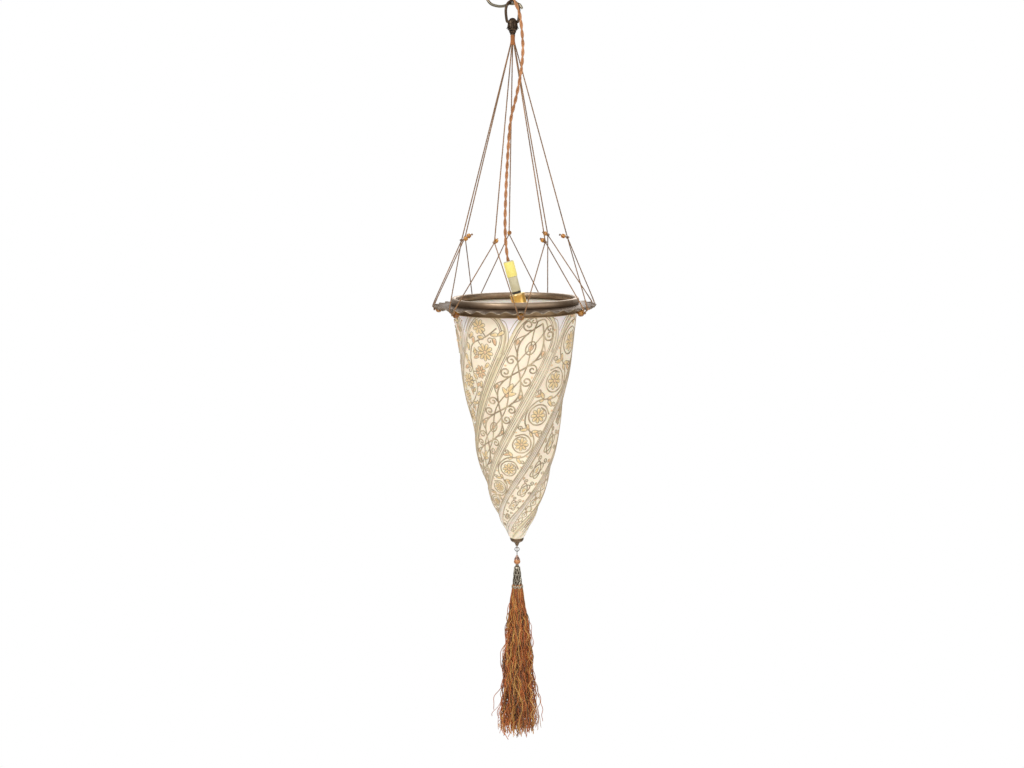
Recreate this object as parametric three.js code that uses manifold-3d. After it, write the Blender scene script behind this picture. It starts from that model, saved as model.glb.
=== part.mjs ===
// Glass pendant lamp. A twisted, painted glass shade sits in a bronze rim that hangs from seven
// silk cords. The cords meet under a crown cap, whose ring hangs on an open ceiling hook. A twisted
// flex comes down beside them to the lampholder in the mouth of the shade, and a bead and a silk
// tassel hang from the tip of the glass.
// Millimetres, +Z up. The origin is the middle of the ceiling plate's top face, where the lamp is
// held. Azimuth 0 faces the front (-Y) and grows towards +X.
import * as THREE from 'three';
import { mergeVertices } from 'three/addons/utils/BufferGeometryUtils.js';
import Module from 'manifold-3d';

const wasm = await Module();
wasm.setup();

// Clearances between pieces that touch, and between pieces that turn in each other
const GAP = 0.3;
const LOOSE = 0.45;

// Ceiling plate and the rose that covers it
const PLATE_RADIUS = 40;
const PLATE_THICKNESS = 4;
const BOSS_RADIUS = 8;
const BOSS_DROP = 16;
const SOCKET_DEPTH = 10;
const SCREW_SPACING = 56;
const SCREW_HOLE = 4.5;
const ROSE_RADIUS = 50;
const ROSE_HEIGHT = 26;
const ROSE_FLAT = 31;
const ROSE_WALL = 1.5;
const BUSH_RADIUS = 5;
const BUSH_LIP = 1.6;
const BUSH_FACE = 2;

// Open hook. Its drop runs from the rose to the seat of the ring.
const HOOK_WIRE = 4.6;
const HOOK_DROP = 56;
const HOOK_BEND = 22;
const HOOK_REACH = 27;
const HOOK_TIP = 18;
const HOOK_SADDLE = 0.4;
const HOOK_TURN = 30;

// Ring on the hook
const RING_WIRE = 4.4;
const RING_WIDTH = 22.8;
const RING_HEIGHT = 33.8;
const RING_TURN = 20;

// Crown cap and the whipping that binds the cords
const CAP_RADIUS = 6.6;
const CAP_DOME = 7;
const CAP_SKIRT = 12;
const CAP_NECK = 8;
const LEAF_COUNT = 6;
const LEAF_REACH = 10.2;
const LEAF_WIDTH = 4.8;
const LEAF_DROOP = 0.4;
const WHIPPING_RADIUS = 3.9;
const WHIPPING_LENGTH = 12;

// Silk cords and their knots. Each knot was tied by hand, so its azimuth and height are its own.
const SILK = 1.9;
const CORD_COUNT = 7;
const CORD_NEST = 2.75;
const CORD_DROP = 313;
const KNOT_CIRCLE = 88;
const KNOT_RADIUS = 2.5;
const KNOT_AZIMUTHS = [33.8, 78.1, 140.3, 185.7, 247.9, 282.8, 338.8];
const KNOT_HEIGHTS = [-2.5, 1.5, 2, 3, 1, -1.5, -2.5];
const STUB_LENGTH = 13.5;
const STUB_RISE = 20;
const END_KNOT = 1.9;
const KNOT_BEAD_RADIUS = 3.3;
const KNOT_BEAD_LENGTH = 6.6;

// Bronze rim: rolled ring, scalloped flange and collar
const LEG_DROP = 110;
const RIM_RADIUS = 105.5;
const RIM_WIDTH = 8;
const RIM_HEIGHT = 10.5;
const FLANGE_RADIUS = 133.5;
const FLANGE_INSIDE = 97;
const FLANGE_THICKNESS = 1;
const FLANGE_DISH = 2.6;
const SCALLOP_COUNT = 35;
const SCALLOP_DEPTH = 3;
const RUFFLE = 2;
const COLLAR_DEPTH = 12.5;
const COLLAR_WALL = 1.2;

// Anchors, where the cords come round the flange into a bead
const ANCHOR_AZIMUTH = 3.9;
const LEG_SPREAD = 2.9;
const LEG_ABOVE = 4;
const LEG_BELOW = 3;
const BEAD_INSET = 5.5;
const BEAD_DROP = 6.5;
const RIM_BEAD_RADIUS = 5.5;
const RIM_BEAD_LENGTH = 9.6;
const JOIN_KNOT = 2.1;

// Glass shade. The outline gives shares of the height and of the top radius.
const GLASS_RADIUS = 101.8;
const GLASS_HEIGHT = 398;
const GLASS_WALL = 3.2;
const GLASS_HOLE = 6.8;
const LIP_HEIGHT = 8;
const LIP_WIDTH = 1.8;
const GLASS_OUTLINE = [
  [0.106, 0.957],
  [0.278, 0.852],
  [0.485, 0.697],
  [0.643, 0.588],
  [0.771, 0.445],
  [0.879, 0.298],
  [0.948, 0.185],
  [0.985, 0.114],
];
const GLASS_ROWS = 8;
const PANEL_COUNT = 7;
const PANEL_AZIMUTH = 30.3;
const RIDGE_HEIGHT = 4;
const RIDGE_LEAN = 0.485;
const RIDGE_TIGHTENING = 0.2;

// Metal under the glass: cup, finial, stem nut, jump ring, eye pin
const CUP_RADIUS = 11.6;
const CUP_WALL = 1.4;
const STEM_RADIUS = 2.4;
const STEM_SPARE = 2;
const NUT_RADIUS = 5;
const NUT_HEIGHT = 4;
const FINIAL_RADIUS = 4.2;
const FINIAL_LENGTH = 7;
const EYE_RADIUS = 2.2;
const EYE_WIRE = 1.6;
const JUMP_RADIUS = 3.05;
const JUMP_WIRE = 1.2;
const PIN_EYE_RADIUS = 1.9;
const PIN_WIRE = 1.3;
const PIN_SHANK = 4.4;

// Drop bead and tassel
const BEAD_CAP_RADIUS = 5;
const BEAD_CAP_HEIGHT = 7.2;
const BEAD_CAP_EDGE = 0.8;
const DROP_BEAD_RADIUS = 5.5;
const DROP_BEAD_HEIGHT = 9.4;
const TASSEL_CAP_HEIGHT = 41;
const TASSEL_CAP_RADIUS = 8.9;
const TASSEL_CAP_WALL = 1.1;
const TASSEL_LENGTH = 258;
const TASSEL_RADIUS = 28;
const LOCK_COUNT = 16;
const STRAY_COUNT = 8;
const STRAY_REACH = 42;
const STRAY_RADIUS = 1.1;

// Flex and lampholder. The flex runs through points chosen along its photographed route.
const FLEX = 5.5;
const FLEX_ROUTE = [
  [-6, -22, -28.6],
  [-6, -22, -38],
  [-4.6, -19.6, -52],
  [-1.2, -15.6, -65],
  [2.8, -12.4, -77],
  [8.3, -10.8, -90],
  [12.2, -9.8, -103],
  [14, -10.2, -118],
  [15.6, -13.6, -136],
  [16.2, -19.1, -153],
  [15, -25.4, -172],
  [13, -30.1, -189],
  [10.6, -32.2, -203],
  [7.6, -31.8, -217],
  [3.2, -27.6, -236],
  [-3, -20.3, -259],
  [-6.6, -13.1, -284],
  [-9.5, -7.5, -320],
  [-12, -4.6, -358],
  [-13.8, -3.4, -394],
  [-15, -3, -428],
  [-14.6, -3, -455],
  [-13, -3, -476],
  [-11.7, -3, -487],
  [-10.45, -3, -493.5],
];
const HOLDER_TILT = 14.4;
const GRIP_LENGTH = 7;
const SLEEVE_RADIUS = 7.7;
const SLEEVE_LENGTH = 51;
const SLEEVE_WALL = 1.2;
const LABEL_TOP = 1.2;
const LABEL_LENGTH = 27;
const LABEL_THICKNESS = 0.4;
const CORE_PLUG = 7;
const CORE_LEDGE = 1.2;
const CORE_SHOULDER = 3;
const CORE_RADIUS = 10.8;
const CORE_HEIGHT = 9;
const SHELL_RADIUS = 12.5;
const SHELL_LENGTH = 31;
const SHELL_WALL = 0.9;
const SHELL_FLARE = 0.6;
const CONTACT_RADIUS = 3;
const CONTACT_THICKNESS = 1;
const BULB_CAP_RADIUS = 6.8;
const BULB_CAP_LENGTH = 22;
const BULB_CAP_TAPER = 3;
const SCREW_SHELL_WALL = 0.6;
const SCREW_SHELL_LENGTH = 18;
const BULB_RADIUS = 17.5;
const BULB_LENGTH = 70;

// Colours and finishes
const finish = (color, roughness, metalness) =>
  new THREE.MeshStandardMaterial({ color, roughness, metalness });
const bronze = () => finish(0x5b4a3d, 0.42, 0.9);
const brass = () => finish(0xc9a25c, 0.25, 1);
const silver = () => finish(0x9a958c, 0.3, 1);
const silk = () => finish(0xa0683a, 0.6, 0);
const amber = () => finish(0xc98a34, 0.12, 0);

const lamp = new THREE.Group();

function add(name, geometry, material, parent = lamp) {
  const mesh = new THREE.Mesh(geometry, material);
  mesh.name = name;
  parent.add(mesh);
  return mesh;
}

const radians = THREE.MathUtils.degToRad;
const xAxis = new THREE.Vector3(1, 0, 0);
const yAxis = new THREE.Vector3(0, 1, 0);
const zAxis = new THREE.Vector3(0, 0, 1);

// Point at a radius and azimuth round the lamp's axis
function around(radius, azimuth, z) {
  const turn = radians(azimuth);
  return new THREE.Vector3(radius * Math.sin(turn), -radius * Math.cos(turn), z);
}

// Turns a closed geometry's faces outwards if its volume comes out negative
function facingOut(geometry) {
  const place = geometry.getAttribute('position');
  const order = geometry.index ? geometry.index.array : [...Array(place.count).keys()];
  const corner = [new THREE.Vector3(), new THREE.Vector3(), new THREE.Vector3()];
  let volume = 0;
  for (let i = 0; i < order.length; i += 3) {
    corner.forEach((point, k) => point.fromBufferAttribute(place, order[i + k]));
    volume += corner[0].dot(corner[1].clone().cross(corner[2])) / 6;
  }
  if (volume < 0) {
    const turned = Array.from(order);
    for (let i = 0; i < turned.length; i += 3) {
      [turned[i + 1], turned[i + 2]] = [turned[i + 2], turned[i + 1]];
    }
    geometry.setIndex(turned);
  }
  return geometry;
}

// Solid of revolution about Z from [radius, z] points
function lathe(profile, segments) {
  const points = profile.map(([radius, z]) => new THREE.Vector2(radius, z));
  const geometry = new THREE.LatheGeometry(points, segments);
  geometry.rotateX(Math.PI / 2);
  return facingOut(geometry);
}

// The same, for a profile that closes on itself
function latheRing(profile, segments) {
  return lathe([...profile, profile[0]], segments);
}

// Line of [radius, z] points moved sideways by a distance, to its right as it runs
function offsetLine(line, distance) {
  return line.map(([radius, z], i) => {
    const before = line[Math.max(i - 1, 0)];
    const after = line[Math.min(i + 1, line.length - 1)];
    const run = new THREE.Vector2(after[0] - before[0], after[1] - before[1]).normalize();
    return [radius + run.y * distance, z - run.x * distance];
  });
}

// Height of a [radius, z] line where it last crosses a radius
function heightAt(line, radius) {
  for (let i = line.length - 1; i > 0; i -= 1) {
    const [near, far] = [line[i], line[i - 1]];
    if (radius >= near[0] && radius <= far[0]) {
      return THREE.MathUtils.mapLinear(radius, near[0], far[0], near[1], far[1]);
    }
  }
  return line[line.length - 1][1];
}

// Curve through points in even steps, straight between them
class Route extends THREE.Curve {
  constructor(points) {
    super();
    this.points = points;
  }

  getPoint(t, target = new THREE.Vector3()) {
    const spans = this.points.length - 1;
    const span = Math.min(Math.floor(t * spans), spans - 1);
    return target.lerpVectors(this.points[span], this.points[span + 1], t * spans - span);
  }

  getPointAt(u, target) {
    return this.getPoint(u, target);
  }

  getTangentAt(u, target) {
    return this.getTangent(u, target);
  }
}

function tube(curve, radius, sides, steps) {
  const corners = [];
  for (let i = 0; i < sides; i += 1) {
    const turn = (2 * Math.PI * i) / sides;
    corners.push(new THREE.Vector2(radius * Math.cos(turn), radius * Math.sin(turn)));
  }
  const section = new THREE.Shape(corners);
  const options = { steps, bevelEnabled: false, extrudePath: curve };
  return facingOut(new THREE.ExtrudeGeometry(section, options));
}

function straightTube(points, radius, sides) {
  return tube(new Route(points), radius, sides, points.length - 1);
}

// Closed surface over rows of points, each row running once round. Joined rows make a ring, and
// otherwise the first and last rows are closed by a fan.
function skin(rows, joined) {
  const columns = rows[0].length;
  const points = rows.flat();
  const index = [];
  const spans = joined ? rows.length : rows.length - 1;
  for (let i = 0; i < spans; i += 1) {
    const near = i * columns;
    const far = ((i + 1) % rows.length) * columns;
    for (let j = 0; j < columns; j += 1) {
      const next = (j + 1) % columns;
      index.push(near + j, near + next, far + next);
      index.push(near + j, far + next, far + j);
    }
  }
  if (!joined) {
    for (const row of [0, rows.length - 1]) {
      const middle = new THREE.Vector3();
      rows[row].forEach((point) => middle.addScaledVector(point, 1 / columns));
      const hub = points.push(middle) - 1;
      for (let j = 0; j < columns; j += 1) {
        const edge = [row * columns + j, row * columns + ((j + 1) % columns)];
        index.push(hub, ...(row === 0 ? edge.reverse() : edge));
      }
    }
  }
  const geometry = new THREE.BufferGeometry().setFromPoints(points);
  geometry.setIndex(index);
  return facingOut(geometry);
}

// Wire bent into a closed loop that lies in an upright plane
function wireLoop(outline, across, wire, sides, steps) {
  const rows = [];
  for (let i = 0; i < steps; i += 1) {
    const centre = outline.getPoint(i / steps);
    const side = outline.getTangent(i / steps).cross(across).normalize();
    const row = [];
    for (let j = 0; j < sides; j += 1) {
      const turn = (2 * Math.PI * j) / sides;
      const point = centre.clone().addScaledVector(side, (wire / 2) * Math.cos(turn));
      row.push(point.addScaledVector(across, (wire / 2) * Math.sin(turn)));
    }
    rows.push(row);
  }
  return skin(rows, true);
}

// Round eye of wire about a horizontal axis
function eye(radius, wire, z, across, sides, steps) {
  const along = across.clone().cross(zAxis);
  const outline = new THREE.Curve();
  outline.getPoint = (t) => {
    const turn = 2 * Math.PI * t;
    const point = along.clone().multiplyScalar(radius * Math.sin(turn));
    return point.add(new THREE.Vector3(0, 0, z + radius * Math.cos(turn)));
  };
  outline.getTangent = (t) => {
    const turn = 2 * Math.PI * t;
    const run = along.clone().multiplyScalar(Math.cos(turn));
    return run.add(new THREE.Vector3(0, 0, -Math.sin(turn)));
  };
  return wireLoop(outline, across, wire, sides, steps);
}

function toManifold(geometry) {
  const bare = geometry.clone();
  bare.deleteAttribute('normal');
  bare.deleteAttribute('uv');
  const merged = mergeVertices(bare, 1e-4);
  const order = merged.index.array;
  const triangles = [];
  for (let i = 0; i < order.length; i += 3) {
    const [a, b, c] = [order[i], order[i + 1], order[i + 2]];
    if (a !== b && b !== c && c !== a) triangles.push(a, b, c);
  }
  const vertProperties = new Float32Array(merged.getAttribute('position').array);
  const mesh = new wasm.Mesh({ numProp: 3, vertProperties, triVerts: new Uint32Array(triangles) });
  return new wasm.Manifold(mesh);
}

function fromManifold(solid) {
  const mesh = solid.getMesh();
  const geometry = new THREE.BufferGeometry();
  geometry.setAttribute('position', new THREE.BufferAttribute(mesh.vertProperties, mesh.numProp));
  geometry.setIndex(Array.from(mesh.triVerts));
  return geometry;
}

function join(geometries) {
  return fromManifold(geometries.map(toManifold).reduce((whole, piece) => whole.add(piece)));
}

function cut(geometry, tools) {
  const pieces = tools.map(toManifold);
  return fromManifold(pieces.reduce((whole, tool) => whole.subtract(tool), toManifold(geometry)));
}

// Upright cylinder that cuts a hole
function drill(radius, x, y, low, high, segments = 20) {
  const geometry = new THREE.CylinderGeometry(radius, radius, high - low, segments);
  geometry.rotateX(Math.PI / 2);
  geometry.translate(x, y, (low + high) / 2);
  return geometry;
}

function ball(radius, centre) {
  const geometry = new THREE.SphereGeometry(radius, 6, 4);
  geometry.translate(centre.x, centre.y, centre.z);
  return geometry;
}

// Glass bead bored along Z
function boredBead(radius, length, bore, segments) {
  const steps = 4;
  const reach = Math.acos(Math.min((bore + radius * 0.22) / radius, 1));
  const profile = [];
  for (let i = 0; i <= steps; i += 1) {
    const turn = THREE.MathUtils.lerp(-reach, reach, i / steps);
    const share = Math.sin(turn) / Math.sin(reach);
    profile.push([radius * Math.cos(turn), (length / 2) * share]);
  }
  return latheRing([[bore, -length / 2], ...profile, [bore, length / 2]], segments);
}

// Heights down the lamp, each from the piece above it
const seatZ = -ROSE_HEIGHT - HOOK_DROP;
const ringTopZ = seatZ + (HOOK_WIRE + RING_WIRE) / 2 + GAP + HOOK_SADDLE / 2;
const pivotZ = ringTopZ - RING_HEIGHT;
const capEndZ = pivotZ - CAP_SKIRT - CAP_NECK;
const whippingZ = capEndZ - GAP;
const cordTopZ = whippingZ - WHIPPING_LENGTH - 2 * GAP;
const knotZ = cordTopZ - CORD_DROP;
const flangeZ = knotZ - LEG_DROP;
const flangeSeatZ = flangeZ + FLANGE_DISH;
const glassTopZ = flangeSeatZ - FLANGE_THICKNESS - GAP;
const glassTipZ = glassTopZ - GLASS_HEIGHT;

function ceilingPlate() {
  const socket = HOOK_WIRE / 2 + LOOSE;
  const disc = lathe(
    [
      [0, 0],
      [PLATE_RADIUS, 0],
      [PLATE_RADIUS, -PLATE_THICKNESS],
      [BOSS_RADIUS, -PLATE_THICKNESS],
      [BOSS_RADIUS, -BOSS_DROP],
      [socket, -BOSS_DROP],
      [socket, SOCKET_DEPTH - BOSS_DROP],
      [0, SOCKET_DEPTH - BOSS_DROP],
    ],
    24,
  );
  const holes = [-1, 1].map((side) =>
    drill(SCREW_HOLE / 2, (side * SCREW_SPACING) / 2, 0, -PLATE_THICKNESS - 1, 1, 12),
  );
  add('ceiling_plate', cut(disc, holes), finish(0xb9b4aa, 0.45, 0.9));
}

function roseCover() {
  const [x, y] = FLEX_ROUTE[0];
  const outside = [
    [ROSE_RADIUS, 0],
    [ROSE_RADIUS, -ROSE_HEIGHT * 0.1],
    [ROSE_RADIUS * 0.95, -ROSE_HEIGHT * 0.22],
    [THREE.MathUtils.lerp(ROSE_FLAT, ROSE_RADIUS, 0.55), -ROSE_HEIGHT * 0.45],
    [THREE.MathUtils.lerp(ROSE_FLAT, ROSE_RADIUS, 0.2), -ROSE_HEIGHT * 0.75],
    [ROSE_FLAT, -ROSE_HEIGHT],
    [HOOK_WIRE / 2 + LOOSE, -ROSE_HEIGHT],
  ];
  const inside = offsetLine(outside, ROSE_WALL);
  inside[0] = [ROSE_RADIUS - ROSE_WALL, 0];
  inside[inside.length - 1] = [HOOK_WIRE / 2 + LOOSE, ROSE_WALL - ROSE_HEIGHT];
  const shell = latheRing([...outside, ...inside.reverse()], 28);
  const bore = drill(BUSH_RADIUS + GAP, x, y, -ROSE_HEIGHT - 1, 2 * ROSE_WALL - ROSE_HEIGHT, 16);
  add('rose_cover', cut(shell, [bore]), brass());
}

function flexBush() {
  const [x, y] = FLEX_ROUTE[0];
  const face = -ROSE_HEIGHT - GAP - BUSH_FACE;
  const bore = FLEX / 2 + LOOSE;
  const profile = [
    [bore, face],
    [BUSH_RADIUS + BUSH_LIP, face],
    [BUSH_RADIUS + BUSH_LIP, -ROSE_HEIGHT - GAP],
    [BUSH_RADIUS, -ROSE_HEIGHT - GAP],
    [BUSH_RADIUS, ROSE_WALL + BUSH_LIP - ROSE_HEIGHT],
    [bore, ROSE_WALL + BUSH_LIP - ROSE_HEIGHT],
  ];
  const bush = add('flex_bush', latheRing(profile, 16), finish(0x2c2622, 0.5, 0));
  bush.position.set(x, y, 0);
}

// The hook's wire leaves the boss, swings out in a round bend and comes back under the axis, where
// the ring sits in a slight saddle, and its tip flares down.
function ceilingHook() {
  const bendZ = seatZ + HOOK_BEND - HOOK_WIRE * 0.5;
  const bend = (degrees) => [
    HOOK_BEND * Math.sin(radians(degrees)) - HOOK_REACH,
    bendZ + HOOK_BEND * Math.cos(radians(degrees)),
  ];
  const route = [
    [0, SOCKET_DEPTH - BOSS_DROP - 4 * GAP],
    [0, HOOK_WIRE - ROSE_HEIGHT],
    [0, -HOOK_WIRE - ROSE_HEIGHT],
    [-HOOK_BEND * 0.2, bendZ + HOOK_BEND + HOOK_WIRE],
    [-HOOK_BEND * 0.63, bendZ + HOOK_BEND + HOOK_WIRE * 0.25],
    ...[0, -35, -70, -105, -140, -180].map(bend),
    [-HOOK_REACH * 0.52, seatZ - HOOK_WIRE * 0.52],
    [-HOOK_TIP * 0.36, seatZ + HOOK_SADDLE],
    [0, seatZ],
    [HOOK_TIP * 0.36, seatZ + HOOK_SADDLE],
    [HOOK_TIP * 0.78, seatZ - HOOK_WIRE * 0.6],
    [HOOK_TIP, seatZ - HOOK_WIRE * 1.96],
  ];
  const plane = new THREE.Vector3(Math.cos(radians(HOOK_TURN)), -Math.sin(radians(HOOK_TURN)), 0);
  const points = route.map(([reach, z]) => plane.clone().multiplyScalar(reach).setZ(z));
  const curve = new THREE.CatmullRomCurve3(points);
  add('ceiling_hook', tube(curve, HOOK_WIRE / 2, 8, 38), finish(0xa8946a, 0.3, 1));
}

// Oval ring whose lower bar runs through the crown cap
function topRing() {
  const along = new THREE.Vector3(Math.cos(radians(RING_TURN)), Math.sin(radians(RING_TURN)), 0);
  const across = new THREE.Vector3(-along.y, along.x, 0);
  const half = RING_WIDTH / 2;
  const bar = CAP_RADIUS + LOOSE;
  const side = [
    [half * 0.62, ringTopZ - RING_HEIGHT * 0.108],
    [half * 0.93, ringTopZ - RING_HEIGHT * 0.316],
    [half, ringTopZ - RING_HEIGHT * 0.52],
    [half * 0.95, ringTopZ - RING_HEIGHT * 0.74],
    [half * 0.88, pivotZ + RING_HEIGHT * 0.1],
    [half * 0.8, pivotZ + RING_HEIGHT * 0.025],
    [bar * 0.95, pivotZ],
    [bar * 0.5, pivotZ],
  ];
  const other = side.map(([reach, z]) => [-reach, z]).reverse();
  const points = [[0, ringTopZ], ...side, [0, pivotZ], ...other];
  const outline = new THREE.CatmullRomCurve3(
    points.map(([reach, z]) => along.clone().multiplyScalar(reach).setZ(z)),
    true,
  );
  add('top_ring', wireLoop(outline, across, RING_WIRE, 8, 32), bronze());
}

function crownCap() {
  const body = lathe(
    [
      [0, pivotZ + CAP_DOME],
      [CAP_RADIUS * 0.5, pivotZ + CAP_DOME * 0.87],
      [CAP_RADIUS * 0.84, pivotZ + CAP_DOME * 0.55],
      [CAP_RADIUS, pivotZ + CAP_DOME * 0.1],
      [CAP_RADIUS, pivotZ - CAP_SKIRT * 0.4],
      [CAP_RADIUS * 1.14, pivotZ - CAP_SKIRT * 0.7],
      [CAP_RADIUS * 1.2, pivotZ - CAP_SKIRT],
      [CAP_RADIUS * 0.86, pivotZ - CAP_SKIRT - CAP_NECK * 0.15],
      [WHIPPING_RADIUS * 1.15, pivotZ - CAP_SKIRT - CAP_NECK * 0.6],
      [WHIPPING_RADIUS, capEndZ],
      [0, capEndZ],
    ],
    24,
  );
  const leaves = [];
  for (let i = 0; i < LEAF_COUNT; i += 1) {
    const root = CAP_RADIUS * 0.8;
    const leaf = new THREE.ConeGeometry(LEAF_WIDTH / 2, LEAF_REACH - root, 5);
    const turn = (360 * i) / LEAF_COUNT + 90;
    const outward = around(1, turn, -LEAF_DROOP).normalize();
    leaf.applyQuaternion(new THREE.Quaternion().setFromUnitVectors(yAxis, outward));
    const middle = around((root + LEAF_REACH) / 2, turn, pivotZ - CAP_SKIRT * 0.88);
    leaf.translate(middle.x, middle.y, middle.z);
    leaves.push(leaf);
  }
  const hole = new THREE.CylinderGeometry(
    RING_WIRE / 2 + LOOSE,
    RING_WIRE / 2 + LOOSE,
    4 * CAP_RADIUS,
    16,
  );
  hole.rotateZ(Math.PI / 2);
  hole.rotateZ(radians(RING_TURN));
  hole.translate(0, 0, pivotZ);
  add('crown_cap', cut(join([body, ...leaves]), [hole]), bronze());
}

function cordWhipping() {
  const end = whippingZ - WHIPPING_LENGTH;
  const profile = [
    [0, whippingZ],
    [WHIPPING_RADIUS * 0.92, whippingZ],
    [WHIPPING_RADIUS, whippingZ - WHIPPING_LENGTH * 0.1],
    [WHIPPING_RADIUS * 0.9, whippingZ - WHIPPING_LENGTH * 0.5],
    [WHIPPING_RADIUS, end + WHIPPING_LENGTH * 0.1],
    [WHIPPING_RADIUS, end],
    [0, end],
  ];
  add('cord_whipping', lathe(profile, 14), finish(0x6e4023, 0.7, 0));
}

const knots = KNOT_AZIMUTHS.map((azimuth, i) =>
  around(KNOT_CIRCLE, azimuth, knotZ + KNOT_HEIGHTS[i]),
);
const sector = 360 / CORD_COUNT;

function hangingCords() {
  knots.forEach((knot, i) => {
    const top = around(CORD_NEST, ANCHOR_AZIMUTH + (i + 0.5) * sector, cordTopZ);
    const run = knot.clone().sub(top).normalize();
    const end = knot.clone().addScaledVector(run, -KNOT_RADIUS - GAP);
    add(`hanging_cord_${i + 1}`, straightTube([top, end], SILK / 2, 6), silk());
  });
}

// Direction of the short stub that carries a knot's bead, inwards and a little up
function stubRun(knot) {
  const inward = new THREE.Vector3(-knot.x, -knot.y, 0).normalize();
  return inward.multiplyScalar(Math.cos(radians(STUB_RISE))).setZ(Math.sin(radians(STUB_RISE)));
}

// Silk that runs from a knot to the two nearest anchors. It passes outside the flange. The right
// leg goes on through the rim bead to its end knot, and the left leg stops at the neighbour's.
const legCircle = FLANGE_RADIUS + SILK / 2 + GAP * 2;
const beadCircle = FLANGE_RADIUS - BEAD_INSET;
const beadZ = flangeZ - BEAD_DROP;

function anchorPoint(azimuth, spread, drop) {
  return around(legCircle, azimuth + spread, flangeZ - drop);
}

function cordForks() {
  knots.forEach((knot, i) => {
    const left = ANCHOR_AZIMUTH + i * sector;
    const right = left + sector;
    const joint = around(legCircle + GAP, right, beadZ);
    const hub = knot.clone();
    const rightLeg = [
      hub,
      anchorPoint(right, -LEG_SPREAD, -LEG_ABOVE),
      anchorPoint(right, -LEG_SPREAD * 0.6, LEG_BELOW),
      joint,
    ];
    const nearLeft = around(legCircle + GAP, left, beadZ);
    const lowLeft = anchorPoint(left, LEG_SPREAD * 0.75, LEG_BELOW);
    const stop = nearLeft.clone().sub(lowLeft).normalize();
    const leftEnd = nearLeft.clone().addScaledVector(stop, -JOIN_KNOT - GAP * 1.5);
    const leftLeg = [hub, anchorPoint(left, LEG_SPREAD, -LEG_ABOVE), lowLeft, leftEnd];
    const stubEnd = knot.clone().addScaledVector(stubRun(knot), STUB_LENGTH);
    const rimEnd = around(beadCircle - RIM_BEAD_LENGTH / 2 - GAP - END_KNOT, right, beadZ);
    const pieces = [
      ball(KNOT_RADIUS, knot),
      straightTube(rightLeg, SILK / 2, 5),
      straightTube(leftLeg, SILK / 2, 5),
      straightTube([hub, stubEnd], SILK / 2, 5),
      ball(END_KNOT, stubEnd),
      ball(JOIN_KNOT, joint),
      straightTube([joint, rimEnd], SILK / 2, 5),
      ball(END_KNOT, rimEnd),
    ];
    add(`cord_fork_${i + 1}`, join(pieces), silk());
  });
}

// Sets a bead bored along Z onto a centre and a direction
function setBead(name, geometry, centre, run) {
  const bead = add(name, geometry, amber());
  bead.position.copy(centre);
  bead.quaternion.setFromUnitVectors(zAxis, run);
}

function beads() {
  const bore = SILK / 2 + LOOSE;
  knots.forEach((knot, i) => {
    const run = stubRun(knot);
    const reach = (KNOT_RADIUS + STUB_LENGTH - END_KNOT) / 2;
    const centre = knot.clone().addScaledVector(run, reach);
    const bead = boredBead(KNOT_BEAD_RADIUS, KNOT_BEAD_LENGTH, bore, 8);
    setBead(`knot_bead_${i + 1}`, bead, centre, run);
    const azimuth = ANCHOR_AZIMUTH + (i + 1) * sector;
    const rimBead = boredBead(RIM_BEAD_RADIUS, RIM_BEAD_LENGTH, bore, 10);
    setBead(`rim_bead_${i + 1}`, rimBead, around(beadCircle, azimuth, beadZ), around(1, azimuth, 0));
  });
}

// Rolled ring with softly rounded corners
function rimRing() {
  const low = flangeSeatZ + GAP;
  const [w, h] = [RIM_WIDTH, RIM_HEIGHT];
  const section = [
    [0, 0.3],
    [0, 0.72],
    [0.18, 0.96],
    [0.5, 1],
    [0.82, 0.96],
    [1, 0.7],
    [1, 0.3],
    [0.8, 0],
    [0.2, 0],
  ];
  const inner = RIM_RADIUS - RIM_WIDTH;
  add('rim_ring', latheRing(section.map(([x, z]) => [inner + x * w, low + z * h]), 48), bronze());
}

// Thin flange with a wavy scalloped edge, level with the anchors at the crest of a wave
function scallopedFlange() {
  const columns = SCALLOP_COUNT * 4;
  const flat = GLASS_RADIUS + LIP_WIDTH + 2 * COLLAR_WALL + 3 * GAP;
  const row = (radiusOf, heightOf) => {
    const points = [];
    for (let j = 0; j < columns; j += 1) {
      const wave = Math.cos((2 * Math.PI * j) / 4);
      const azimuth = ANCHOR_AZIMUTH + (360 * j) / columns;
      points.push(around(radiusOf(wave), azimuth, heightOf(wave)));
    }
    return points;
  };
  const edge = (wave) => FLANGE_RADIUS - (SCALLOP_DEPTH * (1 - wave)) / 2;
  const face = (drop) => [
    row(() => FLANGE_INSIDE, () => flangeSeatZ - drop),
    row(() => flat, () => flangeSeatZ - drop),
    row(edge, (wave) => flangeZ + RUFFLE * wave - drop),
  ];
  const rows = [...face(0), ...face(FLANGE_THICKNESS).reverse()];
  add('scalloped_flange', skin(rows, true), bronze());
}

// Band round the neck of the glass, with a turned-in foot that carries the glass by its lip
function collarBand() {
  const inside = GLASS_RADIUS + LIP_WIDTH + LOOSE;
  const foot = GLASS_RADIUS + LOOSE;
  const shelf = glassTopZ - LIP_HEIGHT - GAP;
  const low = Math.min(glassTopZ - COLLAR_DEPTH, shelf - COLLAR_WALL);
  const profile = [
    [foot, shelf],
    [foot, low],
    [inside + COLLAR_WALL, low],
    [inside + COLLAR_WALL, glassTopZ],
    [inside, glassTopZ],
    [inside, shelf],
  ];
  add('collar_band', latheRing(profile, 48), finish(0x4c3c2f, 0.5, 0.85));
}

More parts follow.
